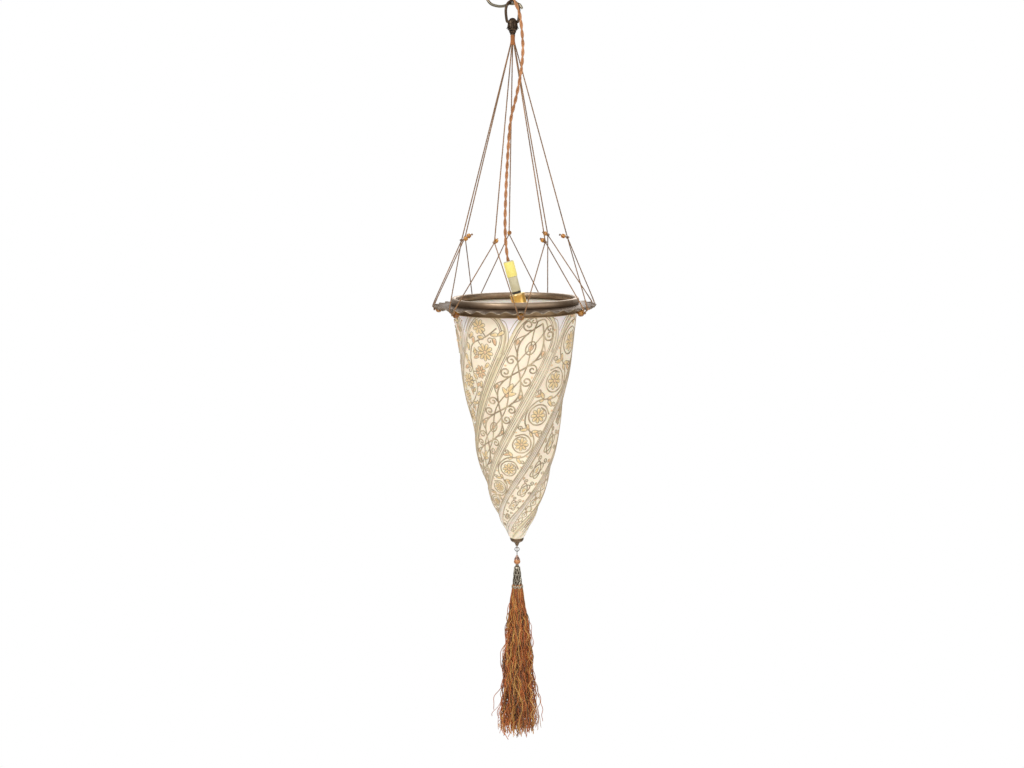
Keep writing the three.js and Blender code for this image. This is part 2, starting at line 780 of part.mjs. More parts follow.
// Outer line of the panels, from under the lip down to the hole in the tip
function glassLine() {
  const shape = GLASS_OUTLINE.map(
    ([drop, share]) => new THREE.Vector2(share * GLASS_RADIUS, glassTopZ - drop * GLASS_HEIGHT),
  );
  const curve = new THREE.SplineCurve([
    new THREE.Vector2(GLASS_RADIUS, glassTopZ - LIP_HEIGHT),
    ...shape,
    new THREE.Vector2(GLASS_HOLE / 2, glassTipZ),
  ]);
  return curve.getPoints(2 * GLASS_ROWS).map((point) => [point.x, point.y]);
}

const outerGlass = glassLine();
const innerGlass = offsetLine(outerGlass, GLASS_WALL)
  .filter((point, i) => i % 2 === 0)
  .map(([radius, z]) => [Math.max(radius, GLASS_HOLE / 2), z]);

function glassDrop(z) {
  return (glassTopZ - z) / GLASS_HEIGHT;
}

// Turn of the ridges at each row of the outer line. They lean on the glass, more so further down.
const ridgeTurns = outerGlass.map(() => 0);
for (let i = 1; i < outerGlass.length; i += 1) {
  const [[near, high], [far, low]] = [outerGlass[i - 1], outerGlass[i]];
  const lean = RIDGE_LEAN + RIDGE_TIGHTENING * glassDrop((high + low) / 2) ** 3;
  const step = (lean * Math.hypot(far - near, low - high)) / ((near + far) / 2);
  ridgeTurns[i] = ridgeTurns[i - 1] - THREE.MathUtils.radToDeg(step);
}

// Height of the ridges, which rise under the collar and fade at the tip
function ridgeHeight(z) {
  const rise = THREE.MathUtils.smoothstep(glassDrop(z), 0.03, 0.4);
  return RIDGE_HEIGHT * rise * (1 - THREE.MathUtils.smoothstep(glassDrop(z), 0.85, 0.975));
}

function glassShade() {
  const perPanel = 8;
  const columns = PANEL_COUNT * perPanel;
  const row = (radius, z, turn, height) => {
    const points = [];
    for (let j = 0; j < columns; j += 1) {
      const wave = (1 - Math.cos((2 * Math.PI * j) / perPanel)) / 2;
      const lift = height * wave ** 1.5;
      points.push(around(radius + lift, PANEL_AZIMUTH + turn + (360 * j) / columns, z));
    }
    return points;
  };
  const lip = GLASS_RADIUS + LIP_WIDTH;
  const outside = [row(lip, glassTopZ, 0, 0), row(lip, glassTopZ - LIP_HEIGHT, 0, 0)];
  outerGlass.forEach(([radius, z], i) => {
    outside.push(row(radius, z, ridgeTurns[i], ridgeHeight(z)));
  });
  // The smooth inside takes the turn back in even steps
  const inside = innerGlass.map(([radius, z], i) => {
    return row(radius, z, (ridgeTurns.at(-1) * i) / (innerGlass.length - 1), 0);
  });
  inside.reverse();
  inside.push(row(innerGlass[0][0], glassTopZ, 0, 0));
  add('glass_shade', skin([...outside, ...inside], true), finish(0xe9dfcd, 0.35, 0));
}

// Shallow cup that follows the tip of the glass
const stemHole = STEM_RADIUS + LOOSE;

function bottomCup() {
  const steps = 4;
  const seat = offsetLine(outerGlass, -GAP);
  const tip = [];
  for (let i = 0; i <= steps; i += 1) {
    const radius = THREE.MathUtils.lerp(CUP_RADIUS, GLASS_HOLE / 2, i / steps);
    tip.push([radius, heightAt(seat, radius) - GAP * 0.5]);
  }
  const floor = Math.min(...tip.map(([, z]) => z), glassTipZ - GAP);
  tip[steps][1] = floor;
  const under = tip.map(([radius, z], i) => [
    i === 0 ? radius + CUP_WALL * 0.6 : radius + CUP_WALL * 0.4,
    z - CUP_WALL,
  ]);
  const profile = [...tip, [stemHole, floor], [stemHole, floor - CUP_WALL], ...under.reverse()];
  add('bottom_cup', latheRing(profile, 20), bronze());
  return floor - CUP_WALL;
}

// Finial: threaded stem up through the cup and the glass, turned drop, eye at its foot
function finial(top) {
  const foot = top - FINIAL_LENGTH;
  const nutZ = heightAt(innerGlass, NUT_RADIUS + GAP) + GAP;
  const turned = lathe(
    [
      [0, nutZ + NUT_HEIGHT + STEM_SPARE],
      [STEM_RADIUS, nutZ + NUT_HEIGHT + STEM_SPARE],
      [STEM_RADIUS, top],
      [FINIAL_RADIUS, top],
      [FINIAL_RADIUS, top - FINIAL_LENGTH * 0.22],
      [FINIAL_RADIUS * 0.72, top - FINIAL_LENGTH * 0.45],
      [FINIAL_RADIUS * 0.66, top - FINIAL_LENGTH * 0.7],
      [EYE_WIRE * 0.9, foot],
      [0, foot],
    ],
    12,
  );
  const eyeZ = foot - EYE_RADIUS + EYE_WIRE * 0.2;
  add('finial', join([turned, eye(EYE_RADIUS, EYE_WIRE, eyeZ, xAxis, 6, 14)]), bronze());
  const nut = drill(NUT_RADIUS, 0, 0, nutZ, nutZ + NUT_HEIGHT, 6);
  const thread = drill(STEM_RADIUS + GAP, 0, 0, nutZ - 1, nutZ + NUT_HEIGHT + 1, 12);
  add('stem_nut', cut(nut, [thread]), brass());
  return eyeZ;
}

// Ring, eye pin, drop bead and tassel, each hung on the one above
function tasselString(eyeZ) {
  const linked = (EYE_WIRE + JUMP_WIRE) / 2 + GAP;
  const jumpZ = eyeZ - EYE_RADIUS + linked - JUMP_RADIUS;
  add('jump_ring', eye(JUMP_RADIUS, JUMP_WIRE, jumpZ, yAxis, 6, 18), silver());

  const pinEyeZ = jumpZ - JUMP_RADIUS + (JUMP_WIRE + PIN_WIRE) / 2 + GAP - PIN_EYE_RADIUS;
  const beadCapZ = pinEyeZ - PIN_EYE_RADIUS - PIN_SHANK - PIN_WIRE / 2;
  const beadZ0 = beadCapZ - BEAD_CAP_HEIGHT + DROP_BEAD_HEIGHT * 0.1;
  const beadMiddle = beadZ0 - DROP_BEAD_HEIGHT / 2;
  const capTopZ = beadMiddle - DROP_BEAD_HEIGHT / 2 - GAP;
  const mouthZ = capTopZ - TASSEL_CAP_HEIGHT;
  const pinEndZ = capTopZ - TASSEL_CAP_HEIGHT * 0.24;
  const shank = lathe(
    [
      [0, pinEyeZ - PIN_EYE_RADIUS],
      [PIN_WIRE / 2, pinEyeZ - PIN_EYE_RADIUS],
      [PIN_WIRE / 2, pinEndZ],
      [0, pinEndZ],
    ],
    8,
  );
  const head = ball(PIN_WIRE * 1.15, new THREE.Vector3(0, 0, pinEndZ));
  const pinEye = eye(PIN_EYE_RADIUS, PIN_WIRE, pinEyeZ, xAxis, 6, 14);
  add('eye_pin', join([pinEye, shank, head]), silver());

  const bore = PIN_WIRE / 2 + LOOSE;
  const coneLow = beadCapZ - BEAD_CAP_HEIGHT;
  const cone = [
    [bore, beadCapZ],
    [bore + BEAD_CAP_EDGE, beadCapZ],
    [BEAD_CAP_RADIUS * 0.55, beadCapZ - BEAD_CAP_HEIGHT * 0.4],
    [BEAD_CAP_RADIUS, coneLow],
    [BEAD_CAP_RADIUS - BEAD_CAP_EDGE, coneLow],
    [bore, beadZ0 + 4 * GAP],
  ];
  add('bead_cap', latheRing(cone, 14), bronze());

  const bead = add(
    'drop_bead',
    boredBead(DROP_BEAD_RADIUS, DROP_BEAD_HEIGHT, bore, 14),
    finish(0xc47a45, 0.15, 0),
  );
  bead.position.z = beadMiddle;

  const capOutside = [
    [TASSEL_CAP_RADIUS * 0.27, capTopZ],
    [TASSEL_CAP_RADIUS * 0.29, capTopZ - TASSEL_CAP_HEIGHT * 0.07],
    [TASSEL_CAP_RADIUS * 0.46, capTopZ - TASSEL_CAP_HEIGHT * 0.13],
    [TASSEL_CAP_RADIUS * 0.58, capTopZ - TASSEL_CAP_HEIGHT * 0.36],
    [TASSEL_CAP_RADIUS * 0.78, capTopZ - TASSEL_CAP_HEIGHT * 0.66],
    [TASSEL_CAP_RADIUS * 0.92, capTopZ - TASSEL_CAP_HEIGHT * 0.91],
    [TASSEL_CAP_RADIUS * 1.06, capTopZ - TASSEL_CAP_HEIGHT * 0.95],
    [TASSEL_CAP_RADIUS * 1.04, mouthZ],
  ];
  const inward = (share, depth) => [
    TASSEL_CAP_RADIUS * share - TASSEL_CAP_WALL,
    capTopZ - TASSEL_CAP_HEIGHT * depth,
  ];
  const capInside = [
    inward(1.04, 1),
    inward(0.92, 0.91),
    inward(0.78, 0.66),
    inward(0.58, 0.36),
    inward(0.5, 0.2),
    [bore, capTopZ - TASSEL_CAP_HEIGHT * 0.17],
  ];
  const cap = latheRing([[bore, capTopZ], ...capOutside, ...capInside], 16);
  add('tassel_cap', cap, finish(0x6a6152, 0.45, 0.85));

  tasselSkirt(mouthZ, capTopZ);
}

// Silk skirt: its head fills the cap, and its locks wander a little and end raggedly
function tasselSkirt(mouthZ, capTopZ) {
  const columns = LOCK_COUNT * 3;
  const slack = TASSEL_CAP_WALL + LOOSE;
  const head = [
    [TASSEL_CAP_RADIUS * 0.58 - slack, capTopZ - TASSEL_CAP_HEIGHT * 0.38],
    [TASSEL_CAP_RADIUS * 0.78 - slack, capTopZ - TASSEL_CAP_HEIGHT * 0.67],
    [TASSEL_CAP_RADIUS * 0.92 - slack, mouthZ],
  ];
  const swell = [
    [0.08, 0.5],
    [0.28, 0.74],
    [0.52, 0.87],
    [0.76, 0.98],
    [1, 1],
  ];
  const spread = new THREE.SplineCurve(swell.map(([down, share]) => new THREE.Vector2(down, share)));
  const rows = head.map(([radius, z]) => {
    const row = [];
    for (let j = 0; j < columns; j += 1) row.push(around(radius, (360 * j) / columns, z));
    return row;
  });
  const steps = 7;
  for (let i = 0; i <= steps; i += 1) {
    const { x: down, y: share } = spread.getPoint(i / steps);
    const row = [];
    for (let j = 0; j < columns; j += 1) {
      const lock = Math.floor(j / 3);
      const groove = j % 3 === 0 ? 0.84 : 1 + 0.05 * Math.sin(lock * 2.4 + down * 7);
      const ragged = 1 - 0.05 * (1 + Math.sin(lock * 4.1)) * down;
      const twist = 3.5 * Math.sin(down * 9 + lock * 1.9);
      const z = mouthZ - TASSEL_LENGTH * down * ragged;
      row.push(around(TASSEL_RADIUS * share * groove, (360 * j) / columns + twist, z));
    }
    rows.push(row);
  }
  const hollow = [];
  for (let j = 0; j < columns; j += 1) {
    const z = mouthZ - TASSEL_LENGTH * 0.86;
    hollow.push(around(TASSEL_RADIUS * 0.5, (360 * j) / columns, z));
  }
  rows.push(hollow);
  const strays = [];
  for (let i = 0; i < STRAY_COUNT; i += 1) {
    const azimuth = (360 * i) / STRAY_COUNT + 25 * Math.sin(i * 2.3);
    const start = 0.3 + 0.22 * Math.abs(Math.sin(i * 1.7));
    const end = 0.84 + 0.15 * Math.abs(Math.sin(i * 3.1));
    const points = [];
    for (let k = 0; k <= 6; k += 1) {
      const t = k / 6;
      const down = THREE.MathUtils.lerp(start, end, t);
      const inside = TASSEL_RADIUS * 0.6;
      const radius = inside + (STRAY_REACH - inside) * Math.sin(t * 1.9) * 0.95;
      const sway = azimuth + 9 * Math.sin(t * 8 + i);
      points.push(around(radius, sway, mouthZ - TASSEL_LENGTH * down));
    }
    strays.push(tube(new THREE.CatmullRomCurve3(points), STRAY_RADIUS, 4, 6));
  }
  add('tassel_skirt', join([skin(rows, false), ...strays]), finish(0x9a5320, 0.65, 0));
}

function supplyFlex() {
  const route = new THREE.CatmullRomCurve3(FLEX_ROUTE.map((point) => new THREE.Vector3(...point)));
  add('supply_flex', tube(route, FLEX / 2, 8, 38), finish(0xb06a30, 0.6, 0));
}

// Lampholder on its leaning axis, measured down from the top of the sleeve
function lampholder() {
  const holder = new THREE.Group();
  const lean = radians(HOLDER_TILT);
  const [x, y, z] = FLEX_ROUTE.at(-1);
  holder.position.set(x + GAP * Math.sin(lean), y, z - GAP * Math.cos(lean));
  holder.rotation.y = -lean;
  lamp.add(holder);
  const bore = FLEX / 2 + LOOSE;
  const sleeveInside = SLEEVE_RADIUS - SLEEVE_WALL;

  const grip = [
    [bore, -SLEEVE_WALL - GAP],
    [sleeveInside - GAP, -SLEEVE_WALL - GAP],
    [sleeveInside - GAP, -SLEEVE_WALL - GRIP_LENGTH],
    [bore, -SLEEVE_WALL - GRIP_LENGTH],
  ];
  add('cord_grip', latheRing(grip, 16), finish(0x3a332c, 0.6, 0), holder);

  const sleeve = [
    [bore, 0],
    [SLEEVE_RADIUS - SLEEVE_WALL / 2, 0],
    [SLEEVE_RADIUS, -SLEEVE_WALL / 2],
    [SLEEVE_RADIUS, -SLEEVE_LENGTH],
    [sleeveInside, -SLEEVE_LENGTH],
    [sleeveInside, -SLEEVE_WALL],
    [bore, -SLEEVE_WALL],
  ];
  add('holder_sleeve', latheRing(sleeve, 20), finish(0xbfb9a8, 0.4, 0), holder);

  const labelInside = SLEEVE_RADIUS + GAP;
  const label = [
    [labelInside, -LABEL_TOP],
    [labelInside + LABEL_THICKNESS, -LABEL_TOP],
    [labelInside + LABEL_THICKNESS, -LABEL_TOP - LABEL_LENGTH],
    [labelInside, -LABEL_TOP - LABEL_LENGTH],
  ];
  add('blank_label', latheRing(label, 20), finish(0xf2df6a, 0.6, 0), holder);

  const neck = sleeveInside - GAP;
  const shoulderZ = -SLEEVE_LENGTH - GAP;
  const plateZ = shoulderZ - CORE_SHOULDER;
  const bodyZ = plateZ - SHELL_WALL - 2 * GAP;
  const coreEndZ = bodyZ - CORE_HEIGHT;
  const core = [
    [0, shoulderZ + CORE_PLUG],
    [neck, shoulderZ + CORE_PLUG],
    [neck, shoulderZ],
    [neck + CORE_LEDGE, shoulderZ],
    [neck + CORE_LEDGE, plateZ],
    [neck - CORE_LEDGE / 2, plateZ],
    [neck - CORE_LEDGE / 2, bodyZ],
    [CORE_RADIUS, bodyZ],
    [CORE_RADIUS, coreEndZ],
    [0, coreEndZ],
  ];
  add('holder_core', lathe(core, 16), finish(0x2a2522, 0.5, 0), holder);

  const shellTopZ = plateZ - GAP;
  const shellEndZ = shellTopZ - SHELL_LENGTH;
  const shellNeck = neck - CORE_LEDGE / 2 + GAP;
  const shell = [
    [shellNeck, shellTopZ],
    [SHELL_RADIUS - SHELL_WALL, shellTopZ],
    [SHELL_RADIUS, shellTopZ - SHELL_WALL],
    [SHELL_RADIUS, shellEndZ + 4 * SHELL_FLARE],
    [SHELL_RADIUS + SHELL_FLARE, shellEndZ],
    [SHELL_RADIUS + SHELL_FLARE - SHELL_WALL, shellEndZ],
    [SHELL_RADIUS - SHELL_WALL, shellEndZ + 4 * SHELL_FLARE],
    [SHELL_RADIUS - SHELL_WALL, shellTopZ - SHELL_WALL],
    [shellNeck, shellTopZ - SHELL_WALL],
  ];
  add('holder_shell', latheRing(shell, 24), brass(), holder);

  const contactZ = coreEndZ - GAP;
  const contact = lathe(
    [
      [0, contactZ],
      [CONTACT_RADIUS, contactZ],
      [CONTACT_RADIUS, contactZ - CONTACT_THICKNESS],
      [0, contactZ - CONTACT_THICKNESS],
    ],
    12,
  );
  add('centre_contact', contact, brass(), holder);

  const screwInside = BULB_CAP_RADIUS + LOOSE;
  const screwShell = [
    [screwInside, contactZ],
    [screwInside + SCREW_SHELL_WALL, contactZ],
    [screwInside + SCREW_SHELL_WALL, contactZ - SCREW_SHELL_LENGTH],
    [screwInside, contactZ - SCREW_SHELL_LENGTH],
  ];
  add('screw_shell', latheRing(screwShell, 20), brass(), holder);

  const tipZ = contactZ - CONTACT_THICKNESS - GAP;
  const capEnd = tipZ - BULB_CAP_LENGTH;
  const flare = BULB_CAP_RADIUS * 1.2;
  const bulbCap = [
    [0, tipZ],
    [BULB_CAP_RADIUS * 0.4, tipZ],
    [BULB_CAP_RADIUS * 0.75, tipZ - BULB_CAP_TAPER * 0.6],
    [BULB_CAP_RADIUS, tipZ - BULB_CAP_TAPER],
    [BULB_CAP_RADIUS, capEnd + BULB_CAP_TAPER],
    [flare, capEnd],
    [0, capEnd],
  ];
  add('bulb_cap', lathe(bulbCap, 20), silver(), holder);

  const glassZ = capEnd - GAP;
  const bulb = [
    [0, glassZ],
    [flare - GAP, glassZ],
    [BULB_RADIUS * 0.62, glassZ - BULB_LENGTH * 0.1],
    [BULB_RADIUS * 0.93, glassZ - BULB_LENGTH * 0.24],
    [BULB_RADIUS, glassZ - BULB_LENGTH * 0.4],
    [BULB_RADIUS * 0.84, glassZ - BULB_LENGTH * 0.62],
    [BULB_RADIUS * 0.48, glassZ - BULB_LENGTH * 0.84],
    [BULB_RADIUS * 0.16, glassZ - BULB_LENGTH * 0.98],
    [0, glassZ - BULB_LENGTH],
  ];
  add('bulb_glass', lathe(bulb, 20), finish(0xf3efe6, 0.2, 0), holder);
}

ceilingPlate();
roseCover();
flexBush();
ceilingHook();
topRing();
crownCap();
cordWhipping();
hangingCords();
cordForks();
beads();
rimRing();
scallopedFlange();
collarBand();
glassShade();
const cupFoot = bottomCup();
tasselString(finial(cupFoot - GAP));
supplyFlex();
lampholder();

export default lamp;
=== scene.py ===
import math

import bmesh
import bpy
import numpy as np
from mathutils import Matrix, Vector


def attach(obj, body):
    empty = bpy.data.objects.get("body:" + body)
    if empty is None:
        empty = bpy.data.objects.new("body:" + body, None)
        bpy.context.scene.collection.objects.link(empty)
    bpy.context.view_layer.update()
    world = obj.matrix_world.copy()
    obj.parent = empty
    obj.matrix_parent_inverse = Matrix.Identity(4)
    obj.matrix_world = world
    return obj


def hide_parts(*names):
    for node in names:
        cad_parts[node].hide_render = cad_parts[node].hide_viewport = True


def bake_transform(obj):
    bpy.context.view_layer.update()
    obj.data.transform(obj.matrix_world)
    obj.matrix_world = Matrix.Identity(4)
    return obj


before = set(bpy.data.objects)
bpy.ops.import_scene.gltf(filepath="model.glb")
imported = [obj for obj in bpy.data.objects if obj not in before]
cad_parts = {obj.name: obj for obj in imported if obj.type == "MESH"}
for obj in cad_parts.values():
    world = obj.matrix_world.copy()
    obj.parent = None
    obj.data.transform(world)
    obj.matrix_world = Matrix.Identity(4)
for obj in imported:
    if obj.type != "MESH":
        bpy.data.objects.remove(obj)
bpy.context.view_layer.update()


# Camera at the photograph's height and distance, tipped down and leaning as the photograph does.
# The room is white to the eye, darker at its sides in reflections, and three soft lamps light
# the object.
CAMERA_PLACE = (-0.006, -2.6, -0.3273)
CAMERA_TIP = 81.9
CAMERA_LEAN = -0.5
CAMERA_LENS = 55.72
CAMERA_REACH = 50
LAMPS_AIM = Vector((0, 0, -0.75))
FLOOR_HEIGHT = -1.9
FLOOR_RADIUS = 1.0


def added(name, data):
    """New object in the scene"""
    piece = bpy.data.objects.new(name, data)
    bpy.context.collection.objects.link(piece)
    return piece


def tone(code):
    """Linear colour of a screen colour code such as "c9a25c" """
    parts = [int(code[i : i + 2], 16) / 255 for i in (0, 2, 4)]
    return (*[p / 12.92 if p <= 0.04045 else ((p + 0.055) / 1.055) ** 2.4 for p in parts], 1.0)


def node(tree, kind, inputs=(), **settings):
    """Adds a shader node, with its settings, and its inputs set or linked"""
    made = tree.nodes.new("ShaderNode" + kind)
    for name, value in settings.items():
        setattr(made, name, value)
    for socket, value in dict(inputs).items():
        if isinstance(value, bpy.types.NodeSocket):
            tree.links.new(value, made.inputs[socket])
        else:
            made.inputs[socket].default_value = value
    return made


def mapped(tree, value, low=0, high=1, to_low=0, to_high=1):
    """Shader value taken from one range to another, and held at its ends"""
    ends = {"Value": value, "From Min": low, "From Max": high, "To Min": to_low, "To Max": to_high}
    return node(tree, "MapRange", ends).outputs[0]


def reckoned(tree, operation, *values, **settings):
    """Sum or comparison of shader values"""
    return node(tree, "Math", enumerate(values), operation=operation, **settings).outputs[0]


def blank_finish(name, **plain):
    """New material with its plain numbers and colours set on the shader itself"""
    finish = bpy.data.materials.new(name)
    finish.use_nodes = True
    shader = finish.node_tree.nodes["Principled BSDF"]
    for label, value in plain.items():
        shader.inputs[label.replace("_", " ")].default_value = value
    return finish, finish.node_tree, shader


def ended(form):
    """Mesh of a finished bmesh"""
    mesh = bpy.data.meshes.new("made")
    form.to_mesh(mesh)
    form.free()
    return mesh


camera = added("camera", bpy.data.cameras.new("camera"))
camera.data.lens = CAMERA_LENS
camera.data.clip_end = CAMERA_REACH
camera.matrix_world = (
    Matrix.Translation(CAMERA_PLACE)
    @ Matrix.Rotation(math.radians(CAMERA_TIP), 4, "X")
    @ Matrix.Rotation(math.radians(CAMERA_LEAN), 4, "Z")
)
bpy.context.scene.camera = camera
bpy.context.scene.view_settings.view_transform = "Standard"

room = bpy.data.worlds.new("room")
bpy.context.scene.world = room
room.use_nodes = True
tree = room.node_tree
rays = node(tree, "LightPath").outputs
outward = node(tree, "SeparateXYZ", {0: node(tree, "TexCoord").outputs["Generated"]}).outputs["X"]
dimming = mapped(tree, reckoned(tree, "ABSOLUTE", outward), 0.45, 0.9, 1, 0.22)
soft = node(tree, "Background", {"Color": tone("fffdfa"), "Strength": 0.82})
mirrored = node(tree, "Background", {"Strength": dimming})
seen = node(tree, "Background", {"Color": (1, 1, 1, 1), "Strength": 1})
straight = reckoned(tree, "MAXIMUM", rays["Is Camera Ray"], rays["Is Transmission Ray"])
lit = node(tree, "MixShader", {0: rays["Is Glossy Ray"], 1: soft.outputs[0], 2: mirrored.outputs[0]})
whole = node(tree, "MixShader", {0: straight, 1: lit.outputs[0], 2: seen.outputs[0]})
tree.links.new(whole.outputs[0], tree.nodes["World Output"].inputs["Surface"])

for name, place, size, power in (
    ("key_lamp", (-1.5, -2.2, 0.7), 1.5, 33),
    ("fill_lamp", (1.9, -1.7, -0.4), 1.8, 14),
    ("back_lamp", (0.5, 2.2, 0.3), 1.4, 14),
):
    lamp = added(name, bpy.data.lights.new(name, "AREA"))
    lamp.data.size = size
    lamp.data.energy = power
    lamp.location = place
    lamp.rotation_euler = (LAMPS_AIM - Vector(place)).to_track_quat("-Z", "Y").to_euler()

floor_form = bmesh.new()
bmesh.ops.create_circle(floor_form, cap_ends=True, segments=96, radius=FLOOR_RADIUS)
bmesh.ops.translate(floor_form, verts=floor_form.verts, vec=(0, 0, FLOOR_HEIGHT))
floor = added("floor", ended(floor_form))
floor.data.materials.append(blank_finish("pale_floor", Base_Color=(0.9, 0.9, 0.9, 1), Roughness=0.8)[0])


# Flex: two cores, each in braided copper-coloured cloth, twisted round each other. It leaves the
# bush in the rose, wanders down beside the silk cords and goes into the top of the lampholder.
MM = 0.001
FLEX = 5.5
FLEX_TWIST = 31
FLEX_ROUTE = (
    (-6, -22, -28.6), (-6, -22, -38), (-4.6, -19.6, -52), (-1.2, -15.6, -65), (2.8, -12.4, -77),
    (8.3, -10.8, -90), (12.2, -9.8, -103), (14, -10.2, -118), (15.6, -13.6, -136), (16.2, -19.1, -153),
    (15, -25.4, -172), (13, -30.1, -189), (10.6, -32.2, -203), (7.6, -31.8, -217), (3.2, -27.6, -236),
    (-3, -20.3, -259), (-6.6, -13.1, -284), (-9.5, -7.5, -320), (-12, -4.6, -358), (-13.8, -3.4, -394),
    (-15, -3, -428), (-14.6, -3, -455), (-13, -3, -476), (-11.7, -3, -487), (-10.45, -3, -493.5),
)  # fmt: skip


def smooth_line(points, steps, closed=False):
    """Line that runs smoothly through the points, with so many steps between two of them"""
    points = np.array(points, float)
    count = len(points)
    line = []
    for i in range(count if closed else count - 1):
        pick = [i - 1, i, i + 1, i + 2]
        pick = [p % count if closed else min(max(p, 0), count - 1) for p in pick]
        before, start, end, after = points[pick]
        leave, arrive = (end - before) / 2, (after - start) / 2
        for t in np.arange(steps) / steps:
            line.append(
                (2 * start - 2 * end + leave + arrive) * t**3
                + (3 * end - 3 * start - 2 * leave - arrive) * t**2
                + leave * t
                + start
            )
    if not closed:
        line.append(points[-1])
    return np.array(line)


def evenly(line, step):
    """The same line with its points an even step apart, and how far along it each is"""
    line = np.array(line, float)
    run = np.concatenate([[0], np.cumsum(np.linalg.norm(np.diff(line, axis=0), axis=1))])
    at = np.linspace(0, run[-1], max(int(round(run[-1] / step)), 2) + 1)
    return np.stack([np.interp(at, run, line[:, k]) for k in range(3)], 1), at


def twisted(line, offset, pitch, step):
    """Lines of the two plies that turn round a line, each at the offset from it"""
    middle, at = evenly(line, step)
    ahead = np.gradient(middle, axis=0)
    ahead /= np.linalg.norm(ahead, axis=1)[:, None]
    side, sides = np.cross(ahead[0], (0.31, 0.93, 0.17)), []
    for direction in ahead:
        side = side - direction * side.dot(direction)
        side /= np.linalg.norm(side)
        sides.append(side)
    sides = np.array(sides)
    over = np.cross(ahead, sides)
    turns = [2 * math.pi * (at / pitch + start)[:, None] for start in (0, 0.5)]
    return [middle + offset * (np.cos(turn) * sides + np.sin(turn) * over) for turn in turns]


def threads(lines, width, roundness=1, closed=False, sizes=None, finishes=None):
    """Round threads along the lines, as one mesh"""
    work = bpy.data.curves.new("thread", "CURVE")
    work.dimensions = "3D"
    work.bevel_depth = width / 2
    work.bevel_resolution = roundness
    work.use_fill_caps = True
    for i, line in enumerate(lines):
        spline = work.splines.new("POLY")
        spline.points.add(len(line) - 1)
        spline.points.foreach_set("co", np.c_[np.array(line, float), np.ones(len(line))].ravel())
        if sizes is not None:
            spline.points.foreach_set("radius", np.array(sizes[i], float))
        spline.use_cyclic_u = closed
        if finishes is not None:
            spline.material_index = finishes[i]
    if finishes is not None:
        for i in range(max(finishes) + 1):
            work.materials.append(None)
    holder = bpy.data.objects.new("thread", work)
    mesh = bpy.data.meshes.new_from_object(holder)
    bpy.data.objects.remove(holder)
    bpy.data.curves.remove(work)
    mesh.shade_smooth()
    return mesh


def fit(name, mesh, finish, body, slot, *nodes):
    """Sets a mesh made in millimetres on its body, in place of its plain solids"""
    mesh.transform(Matrix.Scale(MM, 4))
    mesh.name = name
    for i, one in enumerate(finish if isinstance(finish, list) else [finish]):
        if i < len(mesh.materials):
            mesh.materials[i] = one
        else:
            mesh.materials.append(one)
    piece = added(name, mesh)
    if body:
        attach(piece, body)
    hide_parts(*nodes)
    return piece


def noise(tree, scale, detail=2.0):
    """Cloudy value over a piece, finer as its scale grows"""
    place = node(tree, "TexCoord").outputs["Object"]
    return node(tree, "TexNoise", {"Vector": place, "Scale": scale, "Detail": detail}).outputs["Fac"]


def mixed(tree, share, low, high):
    """Colour between two colours, by a share"""
    return node(tree, "Mix", {0: share, 6: low, 7: high}, data_type="RGBA").outputs[2]


def bumped(tree, height, strength, distance):
    """Normal of a surface with a small relief"""
    return node(tree, "Bump", {"Height": height, "Strength": strength, "Distance": distance}).outputs[0]


def feed(tree, target, **sources):
    """Links sources to the inputs of one node"""
    for label, source in sources.items():
        tree.links.new(source, target.inputs[label.replace("_", " ")])


def new_group(name, inputs):
    """Shared shader effect with named inputs, which puts out a colour, a roughness and a normal"""
    group = bpy.data.node_groups.new(name, "ShaderNodeTree")
    for label, kind, value in inputs:
        socket = group.interface.new_socket(label, in_out="INPUT", socket_type="NodeSocket" + kind)
        socket.default_value = value
    for label, kind in (("Color", "Color"), ("Roughness", "Float"), ("Normal", "Vector")):
        group.interface.new_socket(label, in_out="OUTPUT", socket_type="NodeSocket" + kind)
    return group, group.nodes.new("NodeGroupInput").outputs, group.nodes.new("NodeGroupOutput")


def finish_with(effect, name, values, **plain):
    """Material whose colour, roughness and normal come from a shared effect"""
    finish, tree, shader = blank_finish(name, **plain)
    worn = node(tree, "Group", values, node_tree=effect).outputs
    feed(tree, shader, Base_Color=worn["Color"], Roughness=worn["Roughness"], Normal=worn["Normal"])
    return finish


# Spun fibres: colour drifts along the thread, and fine fibres run round it
fibres, given, made = new_group(
    "spun_fibres",
    [("Light", "Color", (1, 1, 1, 1)), ("Dark", "Color", (0, 0, 0, 1)), ("Drift", "Float", 40.0),
     ("Fibres", "Float", 900.0), ("Relief", "Float", 0.3)],
)  # fmt: skip
fine = noise(fibres, given["Fibres"])
drift = reckoned(fibres, "ADD", noise(fibres, given["Drift"], 3.0), fine)
colour = mixed(fibres, mapped(fibres, drift, 0.72, 1.28), given["Dark"], given["Light"])
dull = mapped(fibres, fine, to_low=0.42, to_high=0.72)
feed(fibres, made, Color=colour, Roughness=dull, Normal=bumped(fibres, fine, given["Relief"], 0.0004))


def silk(name, light, dark, drift, relief=0.3, sheen=0.25):
    """Spun silk or cotton in two colours that drift into each other"""
    values = {"Light": tone(light), "Dark": tone(dark), "Drift": drift, "Relief": relief}
    return finish_with(
        fibres, name, values, Sheen_Weight=sheen, Sheen_Roughness=0.4, Specular_IOR_Level=0.4
    )


flex_line = evenly(smooth_line(FLEX_ROUTE, 10), 2.4)[0]
flex_cores = threads(twisted(flex_line, FLEX / 4, FLEX_TWIST, 2.0), FLEX / 2, roundness=4)
copper_cloth = silk("copper_cloth", "cf9262", "8e5a30", 55.0, relief=0.5)
flex = fit("flex", flex_cores, copper_cloth, None, "flex_cloth", "supply_flex")
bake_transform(flex)


